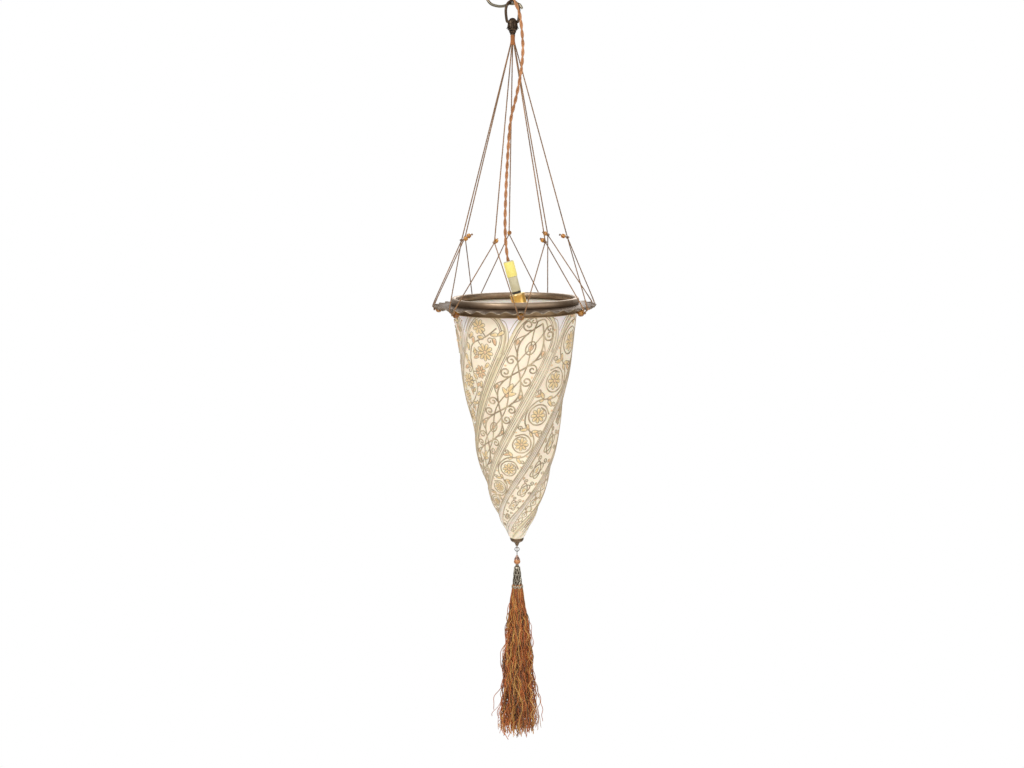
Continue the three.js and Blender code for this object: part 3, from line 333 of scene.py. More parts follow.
# Ceiling plate of plated steel, under a spun brass rose with a rolled foot. A black bush in the
# rose guards the flex.
ROSE_RADIUS = 50
ROSE_HEIGHT = 26
ROSE_FLAT = 31
ROSE_WALL = 1.5
ROSE_HOLE = 2.75


def mesh_of(form, sharp=38):
    """Ends a bmesh, smooth but for its sharp edges"""
    mesh = ended(form)
    mesh.shade_smooth()
    mesh.set_sharp_from_angle(angle=math.radians(sharp))
    return mesh


def spin_round(form, line, steps, closed):
    """Spins a line of points once round the lamp's axis"""
    edges = [form.edges.new(pair) for pair in zip(line, line[1:] + line[:1] if closed else line[1:])]
    bmesh.ops.spin(
        form,
        geom=line + edges,
        cent=(0, 0, 0),
        axis=(0, 0, 1),
        angle=2 * math.pi,
        steps=steps,
        use_merge=True,
    )


def turned(profile, steps, closed=True, sharp=38):
    """Profile of (radius, height) points, spun round the lamp's axis"""
    form = bmesh.new()
    spin_round(form, [form.verts.new((radius, 0, height)) for radius, height in profile], steps, closed)
    bmesh.ops.remove_doubles(form, verts=form.verts, dist=0.002)
    bmesh.ops.recalc_face_normals(form, faces=form.faces)
    return mesh_of(form, sharp)


def eased_side(points, steps, closed=False):
    """Profile of (radius, height) points with its corners eased"""
    line = smooth_line([(radius, height, 0) for radius, height in points], steps, closed)
    return [(max(radius, 0), height) for radius, height, _ in line]


# Handled metal: darkened in clouds, brighter where its edges are rubbed, and finely pitted
wear, given, made = new_group(
    "handled_metal",
    [("Color", "Color", (1, 1, 1, 1)), ("Hollows", "Color", (0, 0, 0, 1)),
     ("Rubbed", "Color", (1, 1, 1, 1)), ("Grain", "Float", 60.0), ("Tarnish", "Float", 0.5),
     ("Roughness", "Float", 0.3), ("Relief", "Float", 0.1)],
)  # fmt: skip
cloud = noise(wear, given["Grain"], 5.0)
speckle = noise(wear, reckoned(wear, "MULTIPLY", given["Grain"], 9.0))
dimmed = reckoned(wear, "MULTIPLY", mapped(wear, cloud, 0.38, 0.66), given["Tarnish"])
rub = mapped(wear, node(wear, "NewGeometry").outputs["Pointiness"], 0.51, 0.58, to_high=0.8)
colour = mixed(wear, rub, mixed(wear, dimmed, given["Color"], given["Hollows"]), given["Rubbed"])
spread = mapped(wear, cloud, to_low=-0.12, to_high=0.16)
rough = reckoned(wear, "ADD", spread, given["Roughness"], use_clamp=True)
feed(wear, made, Color=colour, Roughness=rough, Normal=bumped(wear, speckle, given["Relief"], 0.0005))


def metal(name, color, hollows, rubbed, grain, tarnish, roughness, relief=0.1, shine=1.0):
    """Metal with its own colours and amount of wear"""
    values = {"Color": tone(color), "Hollows": tone(hollows), "Rubbed": tone(rubbed)}
    values |= {"Grain": grain, "Tarnish": tarnish, "Roughness": roughness, "Relief": relief}
    return finish_with(wear, name, values, Metallic=shine)


def refinish(name, finish):
    """Gives a plain solid that stays its own finish"""
    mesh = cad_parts[name].data
    mesh.materials.clear()
    mesh.materials.append(finish)


polished_brass = metal("polished_brass", "e0b25e", "a87830", "f4d590", 35.0, 0.45, 0.2)
black_plastic = metal("black_plastic", "231f1c", "151210", "3a3531", 80.0, 0.5, 0.42, 0.06, shine=0.0)
refinish("ceiling_plate", metal("zinc_steel", "b9b6ae", "7f7b72", "dcdad4", 90.0, 0.6, 0.4, 0.2))
refinish("flex_bush", black_plastic)
rose_side = [(ROSE_RADIUS, 0), (ROSE_RADIUS, -2.2), (ROSE_RADIUS - 1.6, -4.6), (44.6, -8.4)]
rose_side += [(39.6, -13.2), (35.6, -18.4), (33, -23), (ROSE_FLAT, -25.4), (ROSE_FLAT - 2.5, -ROSE_HEIGHT)]
rose_out = eased_side(rose_side, 4)
rose_in = [(r - ROSE_WALL * 0.95, min(z + ROSE_WALL * 0.55, 0)) for r, z in rose_out]
rose_hole = [(ROSE_HOLE, -ROSE_HEIGHT), (ROSE_HOLE, ROSE_WALL - ROSE_HEIGHT)]
rose = turned([*rose_out, *rose_hole, *rose_in[::-1]], 128)
fit("rose", rose, polished_brass, "ceiling_fitting", "polished_brass", "rose_cover")


# Open hook of worn brass wire, screwed into the ceiling boss. Its end flares down past the ring,
# which is an oval of dark bronze wire.
SEAT = -82
HOOK_WIRE = 4.6
HOOK_BEND = 22
HOOK_REACH = 27
HOOK_TIP = 18
HOOK_HEADING = -30
RING_WIRE = 4.4
RING_TOP = -77.0
RING_HEADING = 20


def upright(route, heading):
    """Route of (reach, height) points, in an upright plane through the lamp's axis"""
    c, s = math.cos(math.radians(heading)), math.sin(math.radians(heading))
    return [(reach * c, reach * s, height) for reach, height in route]


bend_height = SEAT + HOOK_BEND - HOOK_WIRE * 0.5
hook_route = [(0, -7.2), (0, -21.4), (0, -30.6)]
hook_route += [(-HOOK_BEND * 0.2, bend_height + HOOK_BEND + HOOK_WIRE)]
hook_route += [(-HOOK_BEND * 0.63, bend_height + HOOK_BEND + HOOK_WIRE * 0.25)]
for degrees in (0, -35, -70, -105, -140, -180):
    turn = math.radians(degrees)
    reach = HOOK_BEND * math.sin(turn) - HOOK_REACH
    hook_route.append((reach, bend_height + HOOK_BEND * math.cos(turn)))
hook_route += [(-HOOK_REACH * 0.52, SEAT - HOOK_WIRE * 0.52), (-HOOK_TIP * 0.36, SEAT + 0.4)]
hook_route += [(0, SEAT), (HOOK_TIP * 0.36, SEAT + 0.4), (HOOK_TIP * 0.78, SEAT - HOOK_WIRE * 0.6)]
hook_route += [(HOOK_TIP, SEAT - HOOK_WIRE * 1.96)]
hook_line = smooth_line(upright(hook_route, HOOK_HEADING), 8)
hook_size = np.ones(len(hook_line))
hook_size[-4:] = (0.98, 0.9, 0.72, 0.4)
hook = threads([hook_line], HOOK_WIRE, roundness=8, sizes=[hook_size])
worn_brass = metal("worn_brass_wire", "8f8674", "4e4637", "d2cab4", 40.0, 0.5, 0.3, 0.03)
fit("hook", hook, worn_brass, "ceiling_fitting", "polished_brass", "ceiling_hook")

ring_side = [(7.1, 3.65), (10.6, 10.7), (11.4, 17.6), (10.83, 25), (10, 30.4), (9.1, 32.95)]
ring_side += [(6.7, 33.8), (3.5, 33.8), (0, 33.8)]
ring_half = [(0, RING_TOP)] + [(reach, RING_TOP - drop) for reach, drop in ring_side]
ring_all = ring_half + [(-reach, z) for reach, z in ring_half[-2:0:-1]]
ring_line = smooth_line(upright(ring_all, RING_HEADING), 6, closed=True)
ring = threads([ring_line], RING_WIRE, roundness=7, closed=True)
dark_bronze = metal("dark_bronze", "4a3a2e", "1d1612", "8a7258", 90.0, 0.75, 0.34, 0.25)
fit("ring", ring, dark_bronze, "ring", "dark_bronze", "top_ring")


# Crown cap: a cast bronze bell with six palmette leaves whose tips curl out. The silk cords go up
# into it and are bound under it with a whipping of orange silk.
PIVOT = -110.8
LEAF_COUNT = 6
LEAF_HALF = 3.1
LEAF_ROUTE = (
    (6.2, 0, -107.2), (6.8, 0, -111), (7.1, 0, -115), (7.7, 0, -118.6), (9, 0, -120.8), (10.3, 0, -120.9)
)  # fmt: skip
CAP_FOOT = -130.8
WHIPPING_RADIUS = 3.9
WHIPPING_LENGTH = 12
WHIPPING_TURNS = 13
WHIPPING_SILK = 1.3
SILK = 1.9


def merged(*meshes, sharp=60, finishes=None):
    """One mesh out of several, each with its own place in the list of finishes if that is given"""
    form = bmesh.new()
    for i, mesh in enumerate(meshes):
        start = len(form.faces)
        form.from_mesh(mesh)
        bpy.data.meshes.remove(mesh)
        if finishes and finishes[i] is not None:
            form.faces.ensure_lookup_table()
            for face in form.faces[start:]:
                face.material_index = finishes[i]
    return mesh_of(form, sharp)


def wound(radius, turn, height):
    """Line through points round the lamp's axis"""
    return np.c_[radius * np.cos(turn), radius * np.sin(turn), height * np.ones(len(turn))]


cap_side = [(0, PIVOT + 7), (3.3, PIVOT + 6.1), (5.54, PIVOT + 3.85), (6.5, PIVOT + 0.7)]
cap_side += [(6.5, PIVOT - 4.8), (7.1, PIVOT - 8), (7.2, PIVOT - 9.4), (8.1, PIVOT - 10.6)]
cap_side += [(8, PIVOT - 12), (6.1, PIVOT - 13.4), (5.6, PIVOT - 14.8), (5.9, PIVOT - 15.6)]
cap_side += [(4.7, PIVOT - 17), (4.1, PIVOT - 18.8), (4.2, CAP_FOOT)]
crown = [turned([*eased_side(cap_side, 4), (0, CAP_FOOT)], 72, closed=False)]
leaf_path = smooth_line(LEAF_ROUTE, 4)
for i in range(LEAF_COUNT):
    leaf = bmesh.new()
    bmesh.ops.create_uvsphere(leaf, u_segments=16, v_segments=22, radius=1)
    for v in leaf.verts:
        down = (1 - v.co.z) / 2
        thick = 1.3 + 1.8 * down**4
        across = v.co.y / max(math.sqrt(1 - v.co.z**2), 0.05)
        where = down * (len(leaf_path) - 1)
        low = min(int(where), len(leaf_path) - 2)
        radius, _, height = leaf_path[low] + (leaf_path[low + 1] - leaf_path[low]) * (where - low)
        lobes = 0.8 + 0.2 * abs(math.sin(down * 9.4))
        half = LEAF_HALF * lobes * math.sqrt(max(1 - abs(2 * down - 1) ** 5, 0))
        side = 1 if v.co.x > 0 else -1
        face = side * thick / 2 * math.sqrt(max(1 - v.co.z**2, 0)) * math.sqrt(max(1 - across**2, 0))
        ribs = face + 0.3 * math.cos(across * 9.4) * side * min(1, 3 * (1 - abs(v.co.z)))
        turn = across * half / radius
        v.co = ((radius + ribs) * math.cos(turn), (radius + ribs) * math.sin(turn), height)
    bmesh.ops.recalc_face_normals(leaf, faces=leaf.faces)
    turn = math.radians(360 * i / LEAF_COUNT)
    bmesh.ops.rotate(leaf, verts=leaf.verts, cent=(0, 0, 0), matrix=Matrix.Rotation(turn, 3, "Z"))
    crown.append(ended(leaf))
black_bronze = metal("black_bronze", "5a4a3e", "15100d", "a08468", 160.0, 0.85, 0.4, 0.3)
fit("crown", merged(*crown, sharp=50), black_bronze, "lamp", "dark_bronze", "crown_cap")

whip_angle = np.linspace(0, 2 * math.pi * WHIPPING_TURNS, WHIPPING_TURNS * 24 + 1)
whip_share = whip_angle / whip_angle[-1]
whip_drop = CAP_FOOT - 0.9 - (WHIPPING_LENGTH + 2.6) * whip_share
whip_waist = WHIPPING_RADIUS - 0.55 - 0.35 * np.sin(math.pi * whip_share) + 0.9 * whip_share**4
whipping = threads([wound(whip_waist, whip_angle, whip_drop)], WHIPPING_SILK, roundness=2)
core_side = [(0, CAP_FOOT), (3.3, CAP_FOOT), (2.9, -137), (3.3, -143), (0, -143)]
core = turned(core_side, 32, closed=False)
orange_silk = silk("orange_silk", "b5713a", "6e3f1f", 60.0)
fit("whipping", merged(whipping, core, sharp=38), orange_silk, "lamp", "silk_cord", "cord_whipping")


# Seven silk cords, two plies each, run from the whipping to seven knots. At each knot the silk
# divides in two legs that go out to the flange, and a short end carries a small gold bead.
CORD_COUNT = 7
SECTOR = 360 / CORD_COUNT
ANCHOR_AZIMUTH = 3.9
CORD_CIRCLE = 2.6
CORD_TOP = -142.2
KNOT_HEIGHT = -456.7
KNOT_CIRCLE = 88
KNOT_AZIMUTHS = (33.8, 78.1, 140.3, 185.7, 247.9, 282.8, 338.8)
KNOT_LIFTS = (-2.5, 1.5, 2, 3, 1, -1.5, -2.5)
KNOT_SIZE = 2.5
RIM_KNOT_SIZE = 1.9
END_KNOT_SIZE = 1.3
KNOT_SILK = 1.35
STUB_RISE = math.radians(20)
STUB_LENGTH = 13.5
KNOT_BEAD = (3.7, 7.2, 1.4)
KNOT_BEAD_AT = 7.3
PLY_TURN = 5.2
FLANGE_Z = -566.7
LEG_CIRCLE = 135.05
LEG_STEPS = 6
BEAD_Z = -573.2
RIM_BEAD = (5.9, 10.2, 1.4)
RIM_BEAD_CIRCLE = 128
RIM_STUB_CIRCLE = 121.4


def around(radius, azimuth, height):
    """Point at a radius and azimuth round the lamp's axis, azimuth 0 at the front"""
    turn = math.radians(azimuth)
    return np.array((radius * math.sin(turn), -radius * math.cos(turn), height))


def two_ply(line):
    """The two plies of a silk cord along a line"""
    return twisted(line, SILK / 4.4, PLY_TURN, PLY_TURN / 6)


def leg(knot, above, below, end):
    """Leg of a cord, from its knot over the flange's edge and under it to its end"""
    over = around(LEG_CIRCLE, above, FLANGE_Z + 4)
    under = around(LEG_CIRCLE + 0.2, below, FLANGE_Z - 3)
    return smooth_line([knot, knot * 0.5 + over * 0.5, over, under, end], LEG_STEPS)


def turn_to(direction):
    """Rotation from Z to a direction"""
    return Vector((0, 0, 1)).rotation_difference(Vector(direction)).to_matrix()


def tied(centre, size, along):
    """Closed loop of an overhand knot, its flat side across a direction"""
    t = np.linspace(0, 2 * math.pi, 28, endpoint=False)
    flat = np.c_[np.sin(t) + 2 * np.sin(2 * t), np.cos(t) - 2 * np.cos(2 * t), -1.4 * np.sin(3 * t)]
    return flat * (size / 3) @ np.array(turn_to(along)).T + centre


def barrel(radius, length, bore, bulge=1.0, steps=40):
    """Bored bead along Z, fuller or slimmer by its bulge"""
    outer = []
    for t in np.linspace(-1, 1, 15):
        outer.append((bore + (radius - bore) * max(1 - abs(t) ** (2.2 * bulge), 0) ** 0.5, t * length / 2))
    return turned([*outer, (bore * 0.86, length / 2 - 0.1), (bore * 0.86, 0.1 - length / 2)], steps)


def set_along(mesh, centre, direction):
    """Turns a mesh from Z to a direction and moves it to a centre"""
    mesh.transform(Matrix.Translation(Vector(centre)) @ turn_to(direction).to_4x4())
    return mesh


def shades_of(tree, value, stops):
    """Colour that runs from stop to stop over a value"""
    ramp = node(tree, "ValToRGB", {0: value})
    ramp.color_ramp.elements.remove(ramp.color_ramp.elements[-1])
    for i, (start, code) in enumerate(stops):
        one = ramp.color_ramp.elements[0] if i == 0 else ramp.color_ramp.elements.new(start)
        one.position, one.color = start, tone(code)
    return ramp.outputs[0]


def glassy(name, color, deep, transmission, roughness=0.06):
    """Bead glass with its colour pooled in clouds"""
    finish, tree, shader = blank_finish(
        name,
        Transmission_Weight=transmission,
        Roughness=roughness,
        IOR=1.5,
        Coat_Weight=0.5,
        Coat_Roughness=0.04,
    )
    feed(tree, shader, Base_Color=shades_of(tree, noise(tree, 160.0), [(0.35, deep), (0.65, color)]))
    return finish


brown_silk = silk("brown_silk", "a87a4c", "5c4735", 24.0)
dark_silk = silk("dark_silk", "6a4526", "33200f", 80.0)
gold_silk = silk("gold_silk", "d98c40", "9a5a24", 60.0)
gold_glass = glassy("gold_bead_glass", "e8a544", "a8611a", 0.3)
amber_glass = glassy("amber_bead_glass", "dfa040", "8a4c12", 0.4)
for i in range(CORD_COUNT):
    number = i + 1
    knot = around(KNOT_CIRCLE, KNOT_AZIMUTHS[i], KNOT_HEIGHT + KNOT_LIFTS[i])
    left, right = ANCHOR_AZIMUTH + i * SECTOR, ANCHOR_AZIMUTH + number * SECTOR
    top = around(CORD_CIRCLE, ANCHOR_AZIMUTH + (i + 0.5) * SECTOR, CORD_TOP)
    cord = threads(two_ply([top, knot]), SILK * 0.74)
    fit(f"silk_cord_{number}", cord, brown_silk, "lamp", "silk_cord", f"hanging_cord_{number}")
    inward = np.array((-knot[0], -knot[1], 0)) / math.hypot(knot[0], knot[1])
    stub = inward * math.cos(STUB_RISE) + np.array((0, 0, math.sin(STUB_RISE)))
    outward = around(1, right, 0)
    joint, near = around(LEG_CIRCLE + 0.3, right, BEAD_Z), around(LEG_CIRCLE + 0.3, left, BEAD_Z)
    near = near + around(0, 0, 1.6) + around(1, left + 90, 0) * 1.2
    stub_end = knot + stub * STUB_LENGTH
    rim_end = around(RIM_STUB_CIRCLE, right, BEAD_Z)
    upper, lower = two_ply([knot, stub_end]), two_ply([joint, rim_end])
    legs = (leg(knot, right - 2.9, right - 1.74, joint), leg(knot, left + 2.9, left + 2.18, near))
    upper = [*two_ply(legs[0][: 2 * LEG_STEPS]), *two_ply(legs[1][: 2 * LEG_STEPS]), *upper]
    lower = [*two_ply(legs[0][2 * LEG_STEPS - 1 :]), *two_ply(legs[1][2 * LEG_STEPS - 1 :]), *lower]
    strands = threads(upper, SILK * 0.64, finishes=[0] * len(upper))
    looped = threads(lower, SILK * 0.8, finishes=[2] * len(lower))
    loops = [tied(knot, KNOT_SIZE, knot - top), tied(joint, RIM_KNOT_SIZE, outward)]
    loops += [tied(rim_end, END_KNOT_SIZE, outward), tied(stub_end, END_KNOT_SIZE, stub)]
    ties = threads(loops, KNOT_SILK, roundness=2, closed=True, finishes=[2, 2, 1, 1])
    finishes = [brown_silk, dark_silk, gold_silk]
    fork = merged(strands, looped, ties)
    fit(f"silk_fork_{number}", fork, finishes, "lamp", "silk_cord", f"cord_fork_{number}")
    knot_bead = set_along(barrel(*KNOT_BEAD), knot + stub * KNOT_BEAD_AT, stub)
    fit(f"gold_bead_{number}", knot_bead, gold_glass, "lamp", "amber_glass", f"knot_bead_{number}")
    rim_bead = set_along(barrel(*RIM_BEAD), around(RIM_BEAD_CIRCLE, right, BEAD_Z), outward)
    fit(f"amber_bead_{number}", rim_bead, amber_glass, "lamp", "amber_glass", f"rim_bead_{number}")


# Rim of the shade: a rolled bronze ring on a spun flange whose edge is ruffled in thirty-five small
# waves, with a plain collar under it that holds the glass by its lip.
RING_IN = 97.5
RING_FOOT = -563.8
RING_WIDE = 8
RING_TALL = 10.5
FLANGE_SEAT = -564.1
FLANGE_IN = 97
FLANGE_RADIUS = 133.5
WAVES = 35
WAVES_FROM = 107
RUFFLE = 2
SCALLOP = 3

ring_section = [(0, 0.3), (0, 0.72), (0.18, 0.96), (0.5, 1), (0.82, 0.96), (1, 0.7), (1, 0.3)]
ring_section += [(0.8, 0), (0.2, 0)]
ring_points = [(RING_IN + x * RING_WIDE, RING_FOOT + z * RING_TALL) for x, z in ring_section]
rolled = turned(eased_side(ring_points, 4, closed=True), 192)
rim_bronze = metal("rim_bronze", "ad977f", "7a5f48", "e2d6c6", 45.0, 0.5, 0.42, 0.05)
fit("rolled_rim", rolled, rim_bronze, "lamp", "aged_bronze", "rim_ring")

flange_top = [(FLANGE_IN + (FLANGE_RADIUS - FLANGE_IN) * t, 0) for t in np.linspace(0, 1, 16)]
hem = [(133.9, 0.1), (134.2, -0.5), (133.9, -1.1)]
flange = turned([*flange_top, *hem, *[(r, -1) for r, _ in flange_top[::-1]]], WAVES * 12)
for v in flange.vertices:
    radius, turn = math.hypot(v.co.x, v.co.y), math.atan2(v.co.x, -v.co.y)
    wave = math.cos(WAVES * (turn - math.radians(ANCHOR_AZIMUTH)))
    out = max((radius - WAVES_FROM) / (FLANGE_RADIUS - WAVES_FROM), 0)
    lowered = out * (FLANGE_SEAT - FLANGE_Z - RUFFLE * wave * out)
    pulled = radius - SCALLOP * (1 - wave) / 2 * out
    v.co = (v.co.x * pulled / radius, v.co.y * pulled / radius, FLANGE_SEAT + v.co.z - lowered)
flange.shade_smooth()
flange_bronze = metal("flange_bronze", "7b6957", "483a2f", "b5a58c", 40.0, 0.6, 0.46, 0.06)
fit("ruffled_flange", flange, flange_bronze, "lamp", "aged_bronze", "scalloped_flange")

collar_side = [(102.25, -573.7), (102.25, -577.4), (104.2, -577.9), (105.9, -577.6), (106.3, -576.6)]
collar_side += [(105.6, -575.6), (105.25, -573), (105.25, -565.5), (104.05, -565.5), (104.05, -573.7)]
collar_bronze = metal("collar_bronze", "b39673", "806548", "c2a680", 80.0, 0.6, 0.5, 0.15)
fit("collar", turned(collar_side, 192), collar_bronze, "lamp", "dark_bronze", "collar_band")


# Shade: blown glass drawn down to a slender tip, with seven panels that wind round it and
# swell between seven sharp folds. The inside is left smooth.
GLASS_RADIUS = 101.8
GLASS_HEIGHT = 398
GLASS_WALL = 3.2
GLASS_TIP = 3.4
GLASS_ROWS = 181
GLASS_STEPS = 252
INNER_END = -960.2
LIP_Z = -565.4
LIP_HEIGHT = 8
LIP_WIDTH = 1.8
GLASS_OUTLINE = (
    (0.106, 0.957), (0.278, 0.852), (0.485, 0.697), (0.643, 0.588), (0.771, 0.445), (0.879, 0.298),
    (0.948, 0.185), (0.985, 0.114),
)  # fmt: skip
PANELS = 7
PANEL_AZIMUTH = 30.3
RIDGE = 4
BAND_TINTS = (1, 2, 2, 0, 1, 2, 0)
OUTSIDE, LIP, INSIDE = 0, 1, 2
INSIDE_BAND = -9
LEAN = 0.485
TIGHTENING = 0.2
FIELD = 0.83
ARCH_TOP = 0.06
ARCH_RISE = 1.15

side = [(GLASS_RADIUS, LIP_Z - LIP_HEIGHT, 0)]
side += [(GLASS_RADIUS * share, LIP_Z - GLASS_HEIGHT * drop, 0) for drop, share in GLASS_OUTLINE]
side += [(GLASS_TIP, LIP_Z - GLASS_HEIGHT, 0)]
glass_side, glass_run = evenly(smooth_line(side, 60), 0.5)
run_r, run_z = glass_side[:, 0], glass_side[:, 1]
run_drop = (LIP_Z - run_z) / GLASS_HEIGHT
run_lean = LEAN + TIGHTENING * run_drop**3
ds = np.gradient(glass_run)
run_turn = -np.cumsum(run_lean * ds / run_r)
run_turn -= run_turn[0]
run_pitch = math.pi / PANELS * run_r / np.sqrt(1 + run_lean**2)
run_sigma = np.cumsum((1 + run_lean**2) / (math.pi / PANELS * run_r) * ds)
run_sigma -= run_sigma[0]
slope_r, slope_z = np.gradient(run_r, glass_run), np.gradient(run_z, glass_run)


def at_run(run, measure):
    """Value of one of the side's measures, so far down its run"""
    return np.interp(run, glass_run, measure)


def run_at(sigma):
    """How far down the side's run a place along a panel is"""
    return np.interp(sigma, run_sigma, glass_run)


def ease(value, low, high):
    """Smooth step from 0 to 1"""
    t = np.clip((value - low) / (high - low), 0, 1)
    return t * t * (3 - 2 * t)


def fold_height(drop, omega):
    """How far the glass stands out between a panel's middle and its folds"""
    height = RIDGE * ease(drop, 0.03, 0.4) * (1 - ease(drop, 0.85, 0.975))
    return height * ((1 - np.cos(np.pi * omega)) / 2) ** 1.5


def field_half(sigma, drop):
    """Half width of a panel's painted field, 1 at the folds, arched at the top"""
    start = np.minimum(sigma, ARCH_TOP + ARCH_RISE)
    arch = np.sqrt(np.clip(1 - ((ARCH_TOP + ARCH_RISE - start) / ARCH_RISE) ** 2, 0, 1))
    return FIELD * arch * (1 - 0.6 * ease(drop, 0.8, 0.98))


def on_glass(panel, sigma, omega, out=0.0):
    """Points on the outside of the shade: along and across one panel, and out from the surface"""
    sigma, omega, out = np.broadcast_arrays(np.asarray(sigma, float), omega, out)
    first = run_at(sigma)
    lean = at_run(first, run_lean)
    m = np.clip(first + omega * at_run(first, run_pitch) * lean / np.sqrt(1 + lean**2), 0, glass_run[-1])
    turn = np.radians(PANEL_AZIMUTH + 360 / PANELS * panel + 180 / PANELS * omega) + at_run(m, run_turn)
    lift = fold_height(at_run(m, run_drop), omega)
    radius = at_run(m, run_r) + lift - at_run(m, slope_z) * out
    height = at_run(m, run_z) + at_run(m, slope_r) * out
    return np.stack([radius * np.sin(turn), -radius * np.cos(turn), height], -1)


shoulder = GLASS_RADIUS + LIP_WIDTH
outer = [(shoulder, LIP_Z, 0, LIP), (shoulder, LIP_Z - LIP_HEIGHT, 0, LIP)]
for m in np.linspace(0, glass_run[-1], GLASS_ROWS):
    outer.append((at_run(m, run_r), at_run(m, run_z), m, OUTSIDE))
inner = [(GLASS_RADIUS - GLASS_WALL, LIP_Z, 0, INSIDE)]
for radius, height, m, _ in outer[2::3]:
    if m < glass_run[-1] - 8:
        inner.append((max(radius - GLASS_WALL, GLASS_TIP), height + GLASS_WALL * 0.25, m, INSIDE))
inner.append((GLASS_TIP, INNER_END, glass_run[-1], INSIDE))
form = bmesh.new()
run_mark = form.verts.layers.float.new("run")
face_mark = form.verts.layers.float.new("face")
line = []
for radius, height, m, face in outer + inner[::-1]:
    line.append(form.verts.new((radius, 0, height)))
    line[-1][run_mark], line[-1][face_mark] = m, face
spin_round(form, line, GLASS_STEPS, closed=True)
bmesh.ops.recalc_face_normals(form, faces=form.faces)
band_mark = form.verts.layers.float.new("band")
tint_mark = form.verts.layers.float.new("tint")
depth_mark = form.verts.layers.float.new("depth")
for v in form.verts:
    m = v[run_mark]
    radius, turn = math.hypot(v.co.x, v.co.y), math.degrees(math.atan2(v.co.x, -v.co.y))
    wound_by = (turn - PANEL_AZIMUTH) * PANELS / 360
    panel = math.floor(wound_by + 0.5)
    omega = (wound_by - panel) * 2
    drop = float(at_run(m, run_drop))
    if v[face_mark] == OUTSIDE:
        radius += fold_height(drop, omega)
    turn = math.radians(turn) + float(at_run(m, run_turn))
    v.co.x, v.co.y = radius * math.sin(turn), -radius * math.cos(turn)
    lean = at_run(m, run_lean)
    first = float(m - omega * at_run(m, run_pitch) * lean / math.sqrt(1 + lean**2))
    half = float(field_half(np.interp(first, glass_run, run_sigma), drop)) if first > 0 else 0.0
    band_width = (1 - float(field_half(9, drop))) * (1.75 - 0.75 * float(ease(drop, 0.02, 0.17)))
    v[band_mark] = INSIDE_BAND if v[face_mark] == INSIDE else (abs(omega) - half) / band_width
    v[tint_mark] = BAND_TINTS[(panel if omega > 0 else panel - 1) % PANELS]
    v[depth_mark] = drop
glass = mesh_of(form, 30)

# Enamelled glass: satin ivory fields in the panels, cream, tan and grey stripes along the folds
LINE = "c6b498"
OLIVE = ((0, LINE), (0.1, "f7ebd0"), (0.28, "f2e4c6"), (0.36, "dbcba6"), (0.8, "e2d3b0"), (0.88, LINE),
         (1, "eee0c2"))  # fmt: skip
TAUPE = ((0, LINE), (0.1, "f8edd8"), (0.3, "efdfc4"), (0.38, "d6c5a8"), (0.5, "eee0c6"), (0.66, "dac9ac"),
         (0.8, "f6ead3"), (1, "e3d4b8"))  # fmt: skip
PINK = ((0, LINE), (0.1, "f5eadb"), (0.28, "e7d9c8"), (0.36, "d8c9b6"), (0.5, "e8dbcb"), (0.66, "dccfbe"),
        (0.8, "eee1d2"), (1, "e4d6c4"))  # fmt: skip
painted, tree, shader = blank_finish(
    "painted_glass", Coat_Weight=0.35, Coat_Roughness=0.12, Subsurface_Weight=0.12, Subsurface_Scale=0.004
)
band, tint, depth = (
    node(tree, "Attribute", attribute_name=name).outputs["Fac"] for name in ("band", "tint", "depth")
)
cloud = noise(tree, 38.0, 4.0)
striped = reckoned(tree, "ADD", band, mapped(tree, cloud, to_low=-0.05, to_high=0.05))
olive, taupe, pink = (shades_of(tree, striped, stops) for stops in (OLIVE, TAUPE, PINK))
stripes = mixed(tree, reckoned(tree, "GREATER_THAN", tint, 0.5), olive, taupe)
stripes = mixed(tree, reckoned(tree, "GREATER_THAN", tint, 1.5), stripes, pink)
between = reckoned(tree, "MULTIPLY", mapped(tree, depth, 0.16, 0.1), mapped(tree, band, 1.04, 1.3))
stripes = mixed(tree, between, stripes, tone("f4ecea"))
ground = mixed(tree, mapped(tree, cloud, 0.35, 0.68), tone("faecd3"), tone("f0dfc7"))
colour = mixed(tree, reckoned(tree, "GREATER_THAN", band, 0.0), ground, stripes)
colour = mixed(tree, reckoned(tree, "LESS_THAN", band, INSIDE_BAND + 2), colour, tone("efeae2"))
gloss = mapped(tree, cloud, to_low=0.26, to_high=0.44)
brushwork = bumped(tree, noise(tree, 260.0, 3.0), 0.22, 0.0006)
feed(tree, shader, Base_Color=colour, Roughness=gloss, Normal=brushwork)
fit("shade", glass, painted, "lamp", "painted_glass", "glass_shade")


# Painting on the shade, in raised enamel: each panel has a double arch round its field and its own
# pattern of strapwork, vines, sprays or medallions in taupe lines, gold leaves and amber blossoms.
ENAMEL = 3.0
TAPER = 0.45
SIDES = (1, -1)
strokes, leaves = {}, {}


def stroke(panel, points, width, steps, closed=False, pale=False):
    """Enamel line, taupe or pale, through points given along and across one panel"""
    flat = smooth_line([(p[0], p[1], 0) for p in points], steps, closed)
    if closed:
        flat = np.concatenate([flat, flat[:1]])
    strokes.setdefault(panel, []).append((flat[:, 0], flat[:, 1], width, 3 if pale else 0))


def leaf(panel, sigma, omega, length, width, turn, amber, high=0.7):
    """Flat drop of gold or amber enamel, longer than it is wide, turned from the panel's axis"""
    leaves.setdefault((panel, amber), []).append((sigma, omega, length, width, math.radians(turn), high))


def scroll(panel, sigma, omega, size, start, sense, turns, width, inner=0.16):
    """Curl that winds in towards its middle"""
    points = []
    for t in np.linspace(0, 1, 10):
        turn = math.radians(start) + sense * t * turns * 2 * math.pi
        reach = size * (1 - (1 - inner) * t)
        points.append((sigma + reach * math.cos(turn), omega + reach * math.sin(turn)))
    stroke(panel, points, width, 3)


